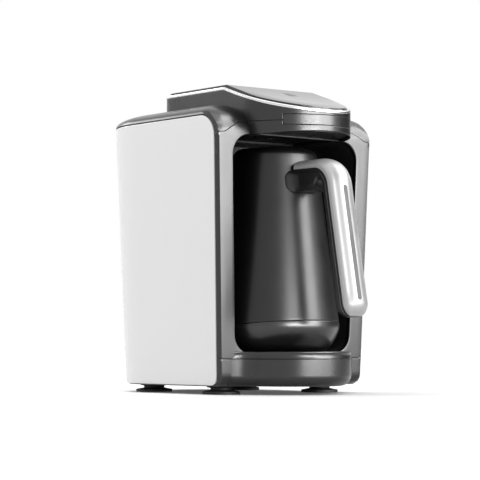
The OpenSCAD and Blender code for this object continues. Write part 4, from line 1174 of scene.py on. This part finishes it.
class MAKER_OT_handle(bpy.types.Operator):
    """Build the handle: its silver cover with the slot, the dark core, and the inlay"""

    bl_idname = "maker.handle"
    bl_label = "Handle"

    def execute(self, context):
        form, pot = HandleForm(), PotForm()
        w0 = form.width / 2
        along = list(np.linspace(20, form.top_run, 9)) + list(np.linspace(form.top_run, form.grip_s, 18))[1:]
        along += list(np.linspace(form.grip_s, form.tip_s, 34))[1:]
        along += [form.tip_s + t for t in TIP_STEPS]

        # the cover: crowned across, with a soft scoop on each side of the grip's ridge
        rings = []
        for s in along:
            inset = form.tip_in(s)
            w = max(w0 - inset * 0.8, 1.2)
            left = max(1 - inset / form.cover_d, 0.12)
            crown = form.crown * left
            scoop = 0.75 * clamp((s - form.top_run - 16) / 14) * clamp((form.tip_s + 2 - s) / 10)
            half = [(w, form.cover_d)]
            for k in range(0, 15):
                share = math.cos(math.pi / 2 * (k / 14) ** 1.15)
                dip = scoop * math.exp(-((share - 0.66) / 0.17) ** 2)
                half.append((w * share, inset + left * share ** 14 + (crown - 0.4) * share ** 2.3 + dip))
            ridge = [(0, half.pop()[1])]
            rings.append(form.ring(s, half + ridge + [(-x, d) for x, d in reversed(half)]))
        cover = stack("handle_shell", rings)
        trim_to_pot(cover, pot, 2.5)
        cut(cover, slot_bar(form, form.slot_w, 1.3, 3))
        place(cover, "pot", "satin_silver_lacquer", "handle_cover", crease=40)

        bar = slot_bar(form, form.slot_w - 0.2, 1.2, -0.2)
        tidy_mesh(bar)
        place(bar, "pot", "charcoal_inlay_tpe", "handle_inlay", crease=40)

        # the core: a lip under the cover, a fine rib, and a rounded underside that meets the pot in a saddle
        def core_section(s):
            inset, depth = form.tip_in(s), form.depth(s)
            w = max(w0 - 0.3 - inset * 0.8, 1.0)
            d = form.cover_d + 0.12
            r = min(5, w * 0.6, (depth - d) * 0.55)
            rib = d + min(2.6, (depth - d) * 0.3)
            half = [(w * 0.5, d), (w - 0.5, d), (w - 0.1, d + 0.12), (w, d + 0.5), (w, rib - 0.5),
                    (w - 0.15, rib - 0.1), (w - 0.6, rib), (w - 0.6, rib + 0.25), (w + 0.1, rib + 0.45),
                    (w + 0.35, rib + 0.75), (w - 0.1, rib + 1.15)]
            for k in range(9):
                a = math.pi / 2 * k / 8
                half.append((w - r * 0.9 - 0.1 + (r * 0.9) * math.cos(a), depth - r + r * math.sin(a)))
            half.append((w * 0.3, depth + 0.1))
            return [(-x, y) for x, y in half] + [(x, y) for x, y in reversed(half)]

        core = stack("grip_core", [form.ring(s, core_section(s)) for s in along])
        trim_to_pot(core, pot, 0.2)
        saddle = saddle_of(form, pot)
        for well in screw_wells(form):
            cut(core, well)
        core = joined("handle_grip", [core, saddle])
        place(core, "pot", "etched_satin_abs", "handle_core", crease=38)
        return {"FINISHED"}


def saddle_of(form, pot):
    """The saddle that flares from the handle's root over the pot's wall."""
    top, foot, half = form.top_z - 8.3, form.top_z - 27.5, 17.0
    outline = dense(round_box(half, foot, top, 7.0, 10), 2)
    arm_w, arm_top, arm_foot = form.width / 2 - 0.9, form.top_z - 8.4, form.top_z - 26.6
    middle = (top + foot) / 2
    rings = []
    for k in range(13):
        t = k / 12
        out = 0.2 + 2.2 * math.sin(min(t * 3, 1) * math.pi / 2) + 12.5 * max(t - 0.25, 0) / 0.75
        blend = max(t - 0.12, 0) / 0.88
        blend = 1 - (1 - blend) ** 2.4
        ring = []
        for x, z in outline:
            ax = max(-arm_w, min(arm_w, x * arm_w / half * 1.04))
            az = arm_foot + (z - foot) / (top - foot) * (arm_top - arm_foot)
            rim_in = 0.9 * (1 - math.cos(math.asin(min(t * 3, 1))))
            bx, bz = x * (1 - rim_in / half), middle + (z - middle) * (1 - rim_in / 9)
            px, pz = bx + (ax - bx) * blend, bz + (az - bz) * blend
            base = math.sqrt(max((pot.side(min(pz, pot.roll)) + min(out, 2.6)) ** 2 - px * px, 1))
            ring.append((px, POT_Y - (base + max(out - 2.6, 0)), pz))
        rings.append(ring)
    return stack("handle_saddle", rings)


def trim_to_pot(piece, pot, gap):
    """Cuts away what reaches nearer than gap to the pot's side."""
    foot, neck, top = pot.widest_r + gap, pot.neck_r + gap, pot.top + 3
    cut(piece, turned("pot_cutter", [(0.0, pot.seam), (foot, pot.seam), (neck, pot.roll), (neck, top),
                                     (0.0, top)], 96, centre=(0, POT_Y)))


def slot_bar(form, width, down, up):
    """A bar with round ends along the middle of the grip, from up above its face to down below it."""
    r = width / 2
    start = form.grip_s + 2 + r
    end = form.grip_s + 2 + form.slot_len - r
    turns = np.linspace(0, math.pi, 13)
    loop = [(r * math.cos(a), start - r * math.sin(a)) for a in turns]
    loop += [(-r * math.cos(a), end + r * math.sin(a)) for a in turns]
    loop = dense(loop, 4)
    return stack("slot_bar", [[form.ring(s, [(x, d)])[0] for x, s in loop] for d in (-up, down)])


def screw_wells(form):
    """The two wells under the root that the handle's screws sit in."""
    z0, z1 = form.top_z - 32, form.top_z - 23.4
    return [turned("well", [(0.0, z0), (2.9, z0), (2.9, z1), (0.0, z1)], 32, centre=(x, POT_Y - 46))
            for x in (-4.5, 4.5)]


def cut(piece, cutter):
    """Subtracts one solid from another, and removes the cutter."""
    change = piece.modifiers.new("cut", "BOOLEAN")
    change.operation = "DIFFERENCE"
    change.solver = "EXACT"
    change.object = cutter
    settle(piece)
    bpy.data.objects.remove(cutter)


def settle(piece):
    """Applies all of a piece's modifiers to its mesh."""
    bpy.context.view_layer.update()
    shaped = piece.evaluated_get(bpy.context.evaluated_depsgraph_get())
    mesh = bpy.data.meshes.new_from_object(shaped)
    piece.modifiers.clear()
    piece.data = mesh


# ---------------------------------------------------------------- repeated pieces
def tree_with(name, sockets):
    """A geometry tree with named inputs, and what its input node gives."""
    tree = bpy.data.node_groups.new(name, "GeometryNodeTree")
    tree.interface.new_socket("Geometry", in_out="INPUT", socket_type="NodeSocketGeometry")
    for label, kind in sockets.items():
        tree.interface.new_socket(label, in_out="INPUT", socket_type=kind)
    tree.interface.new_socket("Geometry", in_out="OUTPUT", socket_type="NodeSocketGeometry")
    return tree, add(tree, "NodeGroupInput").outputs


def grown(piece, tree, values):
    """Runs a geometry tree on a piece with its inputs set by name, and keeps what it makes as a mesh."""
    change = piece.modifiers.new(tree.name, "NODES")
    change.node_group = tree
    keys = {s.name: s.identifier for s in tree.interface.items_tree if s.in_out == "INPUT"}
    for label, value in values.items():
        change[keys[label]] = value
    settle(piece)
    tidy_mesh(piece)
    return piece


def copied(tree, given, pattern, **more):
    """Ends a tree with a pattern that stands on every point of its mesh, in its finish."""
    set_out = add(tree, "GeometryNodeInstanceOnPoints", {"Points": given["Geometry"], "Instance": pattern,
                                                         **more})
    real = add(tree, "GeometryNodeRealizeInstances", {"Geometry": set_out.outputs["Instances"]})
    dressed = add(tree, "GeometryNodeSetMaterial", {"Geometry": real.outputs["Geometry"],
                                                    "Material": given["Finish"]})
    add(tree, "NodeGroupOutput", {"Geometry": dressed.outputs["Geometry"]})
    return tree


def set_out_tree():
    """Sets a pattern piece out on every point of a mesh."""
    if "Set Out" in bpy.data.node_groups:
        return bpy.data.node_groups["Set Out"]
    tree, given = tree_with("Set Out", {"Pattern": "NodeSocketObject", "Turn": "NodeSocketRotation",
                                        "Finish": "NodeSocketMaterial"})
    pattern = add(tree, "GeometryNodeObjectInfo", {"Object": given["Pattern"]}, transform_space="ORIGINAL")
    return copied(tree, given, pattern.outputs["Geometry"], Rotation=given["Turn"])


def coil_tree():
    """A wire coil that stands on each point of a mesh."""
    measures = ("Coil Radius", "Wire Radius", "Height", "Turns")
    tree, given = tree_with("Wire Coil", {**dict.fromkeys(measures, "NodeSocketFloat"),
                                          "Finish": "NodeSocketMaterial"})
    path = add(tree, "GeometryNodeCurveSpiral", {
        "Resolution": 24, "Rotations": given["Turns"], "Start Radius": given["Coil Radius"],
        "End Radius": given["Coil Radius"], "Height": given["Height"]})
    round_wire = add(tree, "GeometryNodeCurvePrimitiveCircle", {"Resolution": 10,
                                                                 "Radius": given["Wire Radius"]})
    wire = add(tree, "GeometryNodeCurveToMesh", {"Curve": path.outputs["Curve"],
                                                 "Profile Curve": round_wire.outputs["Curve"],
                                                 "Fill Caps": True})
    return copied(tree, given, wire.outputs["Mesh"])


def set_out(name, pattern, places, finish, turn=(0, 0, 0)):
    """One mesh of a pattern piece at every place, by the set-out tree."""
    points = new_piece(name, places, [])
    grown(points, set_out_tree(), {"Pattern": pattern, "Turn": turn, "Finish": finishes()[finish]})
    bpy.data.objects.remove(pattern)
    return points


def at_origin(piece):
    """Moves a pattern piece's mesh from the front face to the origin."""
    piece.data.transform(Matrix.Translation((0, -FRONT_Y * MM, 0)))
    return piece


def pattern_of(name, profile, steps):
    """A small turned pattern piece that stands at the origin."""
    made = at_origin(turned(name, profile, steps))
    close_poles(made, 0.3, (0, 0))
    return made


def cross_recess(head, arm, width, levels):
    """Cuts a cross recess into a screw's head, from heights and the share of its size there."""
    for across, along in ((arm, width), (width, arm)):
        rings = [[(sx * across * k, sy * along * k, z) for sx, sy in ((1, 1), (-1, 1), (-1, -1), (1, -1))]
                 for z, k in levels]
        cut(head, at_origin(stack("recess", rings)))


class MAKER_OT_feet(bpy.types.Operator):
    """Build the four rubber feet and their studs"""

    bl_idname = "maker.feet"
    bl_label = "Feet"

    def execute(self, context):
        foot, body = sizes("maker_foot"), sizes("maker_body")
        r, h = foot.radius, body.floor_z
        places = [(sx * x, y, 0) for sx in (-1, 1)
                  for x, y in ((foot.across, foot.front_y), (foot.rear_across, foot.rear_y))]
        pad = pattern_of("foot_pattern", [
            (0.0, 0.25), (r - 3, 0.25), (r - 2.4, 0.0), (r - 0.7, 0.0), (r - 0.2, 0.15), (r, 0.6),
            (r, h * 0.3), (r - 0.25, h * 0.35), (r - 1, h * 0.38), (r * 0.58, h * 0.53), (r * 0.56, h * 0.57),
            (r * 0.56, h * 0.74), (r * 0.6, h * 0.79), (r * 0.75, h * 0.84), (r * 0.75, h - 0.12),
            (2.6, h - 0.12), (2.6, 1.5), (0.0, 1.5)], 48)
        feet = set_out("foot_pads_rubber", pad, places, "moulded_rubber")
        place(feet, "housing", "moulded_rubber", "foot_pads", crease=32)

        stud_top = h + 3.0
        stud = pattern_of("stud_pattern", [(0.0, 1.7), (2.1, 1.7), (2.45, 2.1), (2.45, stud_top - 0.4),
                                           (2.1, stud_top), (0.0, stud_top)], 32)
        studs = set_out("foot_studs_moulded", stud, places, "moulded_dark_pp")
        place(studs, "housing", "moulded_dark_pp", "foot_studs", crease=32)
        return {"FINISHED"}


class MAKER_OT_fasteners(bpy.types.Operator):
    """Build the cross-head screws of the base and the board"""

    bl_idname = "maker.fasteners"
    bl_label = "Fasteners"

    def execute(self, context):
        low, high = (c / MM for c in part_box("base_screws"))
        z0 = sizes("maker_body").floor_z + 0.3
        # the heads face down, so the recess is cut from below
        head = pattern_of("base_screw_pattern", [
            (0.0, z0), (2.0, z0), (2.6, z0 + 0.25), (2.95, z0 + 0.8), (2.95, z0 + 1.55), (2.8, z0 + 1.65),
            (1.25, z0 + 1.7), (1.25, z0 + 10), (0.9, z0 + 10.5), (0.0, z0 + 10.55)], 28)
        cross_recess(head, 1.8, 0.4, ((z0 - 0.5, 1.0), (z0 + 1.1, 0.5)))
        side_x, start = high.x - 3, low.y - FRONT_Y + 3
        places = [(sx * x, y, 0) for sx in (-1, 1)
                  for x, y in ((side_x, start), (side_x, start + 48), (side_x / 2, high.y - FRONT_Y - 3))]
        screws = set_out("base_screws_zinc", head, places, "zinc_plated_steel")
        place(screws, "housing", "zinc_plated_steel", "base_screws", crease=32)

        low, high = (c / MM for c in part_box("board_screws"))
        head = pattern_of("board_screw_pattern", [
            (0.0, -9.0), (1.15, -9.0), (1.15, -0.02), (2.5, 0.0), (2.8, 0.3), (2.7, 0.9), (2.2, 1.35),
            (1.4, 1.55), (0.0, 1.6)], 24)
        cross_recess(head, 1.5, 0.33, ((0.6, 0.55), (2.1, 1.0)))
        board = [c.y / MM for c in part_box("power_board")]
        # the heads stand on the side of the board that lies nearer to the screws' end
        turned_back = abs(board[0] - low.y) > abs(board[1] - high.y)
        y = (high.y - 1.6 if turned_back else low.y + 1.6) - FRONT_Y
        places = [(x, y, z) for x in (low.x + 2.8, high.x - 2.8) for z in (low.z + 2.8, high.z - 2.8)]
        turn = (math.radians(-90 if turned_back else 90), 0, 0)
        screws = set_out("board_screws_zinc", head, places, "zinc_plated_steel", turn)
        place(screws, "housing", "zinc_plated_steel", "board_screws", crease=32)
        return {"FINISHED"}


class MAKER_OT_contact_springs(bpy.types.Operator):
    """Build the coil springs under the three contact pins"""

    bl_idname = "maker.contact_springs"
    bl_label = "Contact springs"

    def execute(self, context):
        tree, wire = coil_tree(), 0.25
        for side in ("left", "middle", "right"):
            low, high = (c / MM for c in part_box(f"contact_spring_{side}"))
            r, h = (high.x - low.x) / 2 - wire - 0.05, high.z - low.z - 2 * wire
            middle = ((low.x + high.x) / 2, (low.y + high.y) / 2 - FRONT_Y, low.z + wire)
            coil = new_piece(f"coil_{side}", [middle], [])
            grown(coil, tree, {"Coil Radius": r * MM, "Wire Radius": wire * MM, "Height": h * MM,
                               "Turns": 5.0, "Finish": finishes()["drawn_spring_steel"]})
            shade(coil, 60)
            settle(coil)
            place(coil, "housing", "drawn_spring_steel", f"contact_spring_{side}", crease=0)
            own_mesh(coil)
        return {"FINISHED"}


# ---------------------------------------------------------------- pieces kept from the model
# Finish of every node that is shown as it was modelled
KEPT = {
    "main_housing": "moulded_dark_abs", "base_plate": "moulded_dark_pp", "niche_liner": "etched_black_pp",
    "brew_ceiling": "etched_black_pp", "sensor_lens": "dark_red_polycarbonate",
    "sensor_board": "solder_resist_fr4", "touch_board": "solder_resist_fr4",
    "pot_stand": "polished_black_abs", "contact_block": "steatite_ceramic",
    "contact_pin_left": "gold_plated_brass",
    "contact_pin_middle": "gold_plated_brass", "contact_pin_right": "gold_plated_brass",
    "power_board": "solder_resist_fr4", "relay": "relay_case_pbt", "transformer": "varnished_winding_tape",
    "buzzer": "moulded_dark_pp", "cord_gland": "moulded_rubber", "heater_plate": "cast_aluminium",
    "pot_connector": "moulded_dark_pp", "pot_contacts": "gold_plated_brass",
    "handle_bracket": "zinc_plated_steel", "handle_screws": "zinc_plated_steel",
}


def even_shading_tree():
    """Joins a kept node's loose triangles and smooths them up to an edge angle."""
    tree, given = tree_with("Even Shading", dict.fromkeys(("Join Within", "Edge Angle"), "NodeSocketFloat"))
    whole = add(tree, "GeometryNodeMergeByDistance", {"Geometry": given["Geometry"],
                                                      "Distance": given["Join Within"]})
    smooth = add(tree, "GeometryNodeSetShadeSmooth", {"Geometry": whole.outputs["Geometry"]}, domain="FACE")
    angle_at = add(tree, "GeometryNodeInputMeshEdgeAngle")
    sharp = add(tree, "FunctionNodeCompare", {0: angle_at.outputs["Unsigned Angle"], 1: given["Edge Angle"]},
                data_type="FLOAT", operation="GREATER_THAN")
    edged = add(tree, "GeometryNodeSetShadeSmooth", {"Geometry": smooth.outputs["Geometry"],
                                                     "Selection": sharp.outputs["Result"],
                                                     "Shade Smooth": False}, domain="EDGE")
    add(tree, "NodeGroupOutput", {"Geometry": edged.outputs["Geometry"]})
    return tree


class MAKER_OT_kept_pieces(bpy.types.Operator):
    """Give every piece kept from the model its finish and even shading"""

    bl_idname = "maker.kept_pieces"
    bl_label = "Kept pieces"

    def execute(self, context):
        tree, known = even_shading_tree(), finishes()
        keys = {s.name: s.identifier for s in tree.interface.items_tree if s.in_out == "INPUT"}
        for node, name in KEPT.items():
            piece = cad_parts[node]
            piece.data.materials.clear()
            piece.data.materials.append(known[name])
            for slot in piece.material_slots:
                slot.material = known[name]
            change = piece.modifiers.new("even_shading", "NODES")
            change.node_group = tree
            change[keys["Join Within"]] = MERGE * MM
            change[keys["Edge Angle"]] = math.radians(30)
        return {"FINISHED"}


# ---------------------------------------------------------------- stage
def stood(name, data, middle, aim):
    """A lamp or camera in the scene at middle, which looks along aim."""
    holder = bpy.data.objects.new(name, data)
    bpy.context.scene.collection.objects.link(holder)
    holder.location = middle
    holder.rotation_euler = aim.to_track_quat("-Z", "Y").to_euler()
    return holder


def soft_lamp(name, middle, target, width, height, level, matt, gloss):
    """A soft rectangular lamp at middle that looks at target, both in metres, at a level where 1 is white.

    matt and gloss say whether it lights matt surfaces, and whether metal and gloss reflect it.
    """
    lamp = bpy.data.lights.new(name, "AREA")
    lamp.shape, lamp.size, lamp.size_y = "RECTANGLE", width, height
    lamp.energy = level * math.pi * width * height
    holder = stood(name, lamp, middle, Vector(target) - Vector(middle))
    holder.visible_diffuse, holder.visible_glossy = matt, gloss


def seen_rays(tree):
    """A value of 1 on what the camera sees, directly, in reflections or through clear pieces."""
    path = add(tree, "ShaderNodeLightPath").outputs
    seen = path["Is Camera Ray"]
    for kind in ("Is Glossy Ray", "Is Transmission Ray"):
        seen = add(tree, "ShaderNodeMath", {0: seen, 1: path[kind]}, operation="MAXIMUM").outputs["Value"]
    return seen


# What the soft lamps look at
MIDDLE = (0, -0.03, 0.13)
# Each lamp: where it stands and looks, in metres, its width and height, the studio's level that it takes
# and what share of it, and whether matt surfaces and gloss see it
LAMPS = (
    ("left_soft", (-1.0, 1.2, 0.9), MIDDLE, 1.3, 0.9, "left", 1, True, False),
    ("front_soft", (0.1, -1.8, 0.9), MIDDLE, 1.2, 1.2, "front", 1, True, False),
    ("right_soft", (1.5, -0.2, 0.45), MIDDLE, 1.3, 0.9, "right", 1, True, False),
    ("top_soft", (-0.1, 0.1, 1.7), MIDDLE, 1.4, 1.4, "top", 1, True, True),
    ("front_glint", (0.84, -1.59, 0.7), (0, -0.03, 0.15), 1.2, 1.4, "glint", 1, False, True),
    ("low_glint", (-0.07, -1.8, 0.28), (0, -0.03, 0.22), 1.0, 0.3, "glint", 2.6, False, True),
    ("high_glint", (1.03, -0.5, 1.3), (0, -0.03, 0.2), 1.3, 1.2, "glint", 0.6, False, True),
    ("back_glint", (-0.57, 1.58, 0.9), (-0.05, 0.05, 0.24), 0.8, 0.6, "glint", 0.64, False, True),
)


class MAKER_OT_studio(bpy.types.Operator):
    """Build the pale floor, the soft lamps, the world and the camera"""

    bl_idname = "maker.studio"
    bl_label = "Studio"

    def execute(self, context):
        scene, studio = context.scene, sizes("maker_studio")
        flat = math.cos(studio.tilt)
        aim = Vector((math.sin(studio.turn) * flat, math.cos(studio.turn) * flat, -math.sin(studio.tilt)))
        eye = bpy.data.cameras.new("camera")
        eye.lens, eye.sensor_width = studio.lens, studio.sensor
        eye.clip_start, eye.clip_end = 0.05, 50
        scene.camera = stood("camera", eye, studio.spot, aim)

        floor = bpy.data.objects.new("floor", bpy.data.meshes.new("floor"))
        half = 6.0
        floor.data.from_pydata([(-half, -half, 0), (half, -half, 0), (half, half, 0), (-half, half, 0)], [],
                               [(0, 1, 2, 3)])
        scene.collection.objects.link(floor)
        floor.data.materials.append(floor_paint())

        world = bpy.data.worlds.new("studio")
        scene.world = world
        world.use_nodes = True
        tree = world.node_tree
        tree.nodes.clear()
        level = add(tree, "ShaderNodeMapRange", {"Value": seen_rays(tree), "To Min": studio.ambient,
                                                 "To Max": 1.0})
        sky = add(tree, "ShaderNodeBackground", {"Color": (1, 1, 1, 1), "Strength": level.outputs["Result"]})
        add(tree, "ShaderNodeOutputWorld", {"Surface": sky.outputs["Background"]})

        for name, middle, target, width, height, lit_by, share, matt, gloss in LAMPS:
            soft_lamp(name, middle, target, width, height, getattr(studio, lit_by) * share, matt, gloss)
        # a card beside the maker, which only its gloss reflects
        card = new_piece("grey_card", [(1900, -800, 0.5), (1900, 1100, 0.5), (1900, 1100, 1100),
                                       (1900, -800, 1100)], [(0, 1, 2, 3)])
        card.data.materials.append(finishes()["moulded_dark_abs"])
        card.visible_camera = card.visible_diffuse = card.visible_shadow = card.visible_transmission = False
        scene.view_settings.view_transform = "Standard"
        return {"FINISHED"}


def floor_paint():
    """Matt white paint that takes the object's shadow, and that the camera sees as white farther away."""
    made, tree = new_material("matt_white_floor_paint")
    where = add(tree, "ShaderNodeTexCoord").outputs["Object"]
    away = add(tree, "ShaderNodeVectorMath", {0: where}, operation="LENGTH")
    share = add(tree, "ShaderNodeMapRange", {"Value": away.outputs["Value"], "From Min": 0.3, "From Max": 0.9,
                                             "To Min": 0.08}, interpolation_type="SMOOTHSTEP")
    matt = add(tree, "ShaderNodeBsdfDiffuse", {"Color": linear("#f4f4f4")})
    lit = add(tree, "ShaderNodeBsdfDiffuse", {"Color": (1.18, 1.18, 1.18, 1)})
    glow = add(tree, "ShaderNodeEmission", {"Color": (1, 1, 1, 1), "Strength": 1.1})
    shown = add(tree, "ShaderNodeMixShader", {0: share.outputs["Result"], 1: lit.outputs["BSDF"],
                                              2: glow.outputs["Emission"]})
    mixed = add(tree, "ShaderNodeMixShader", {0: seen_rays(tree), 1: matt.outputs["BSDF"],
                                              2: shown.outputs["Shader"]})
    add(tree, "ShaderNodeOutputMaterial", {"Surface": mixed.outputs["Shader"]})
    return made


# ---------------------------------------------------------------- panel and running
PIECES = (MAKER_OT_side_panels, MAKER_OT_rear_strip, MAKER_OT_front_frame, MAKER_OT_top_cover,
          MAKER_OT_head_trim, MAKER_OT_base_front, MAKER_OT_pot, MAKER_OT_handle, MAKER_OT_feet,
          MAKER_OT_fasteners, MAKER_OT_contact_springs, MAKER_OT_kept_pieces, MAKER_OT_studio)


class MAKER_PT_sidebar(bpy.types.Panel):
    """Lists the maker's pieces and the sizes that they are built from"""

    bl_idname = "MAKER_PT_sidebar"
    bl_label = "Coffee Maker"
    bl_space_type = "VIEW_3D"
    bl_region_type = "UI"
    bl_category = "Coffee Maker"

    def draw(self, context):
        for piece in PIECES:
            self.layout.operator(piece.bl_idname)
        for name in GROUPS:
            group = getattr(context.scene, name)
            box = self.layout.box()
            box.label(text=group.bl_rna.description)
            for prop in group.bl_rna.properties:
                if prop.identifier not in ("rna_type", "name"):
                    box.prop(group, prop.identifier)


def register():
    for group in GROUPS.values():
        bpy.utils.register_class(group)
    for name, group in GROUPS.items():
        setattr(bpy.types.Scene, name, PointerProperty(type=group))
    for piece in (*PIECES, MAKER_PT_sidebar):
        bpy.utils.register_class(piece)


def unregister():
    for piece in (MAKER_PT_sidebar, *reversed(PIECES)):
        bpy.utils.unregister_class(piece)
    for name in GROUPS:
        delattr(bpy.types.Scene, name)
    for group in GROUPS.values():
        bpy.utils.unregister_class(group)


def main():
    register()
    for piece in PIECES:
        group, name = piece.bl_idname.split(".")
        getattr(getattr(bpy.ops, group), name)()


if __name__ == "__main__":
    main()
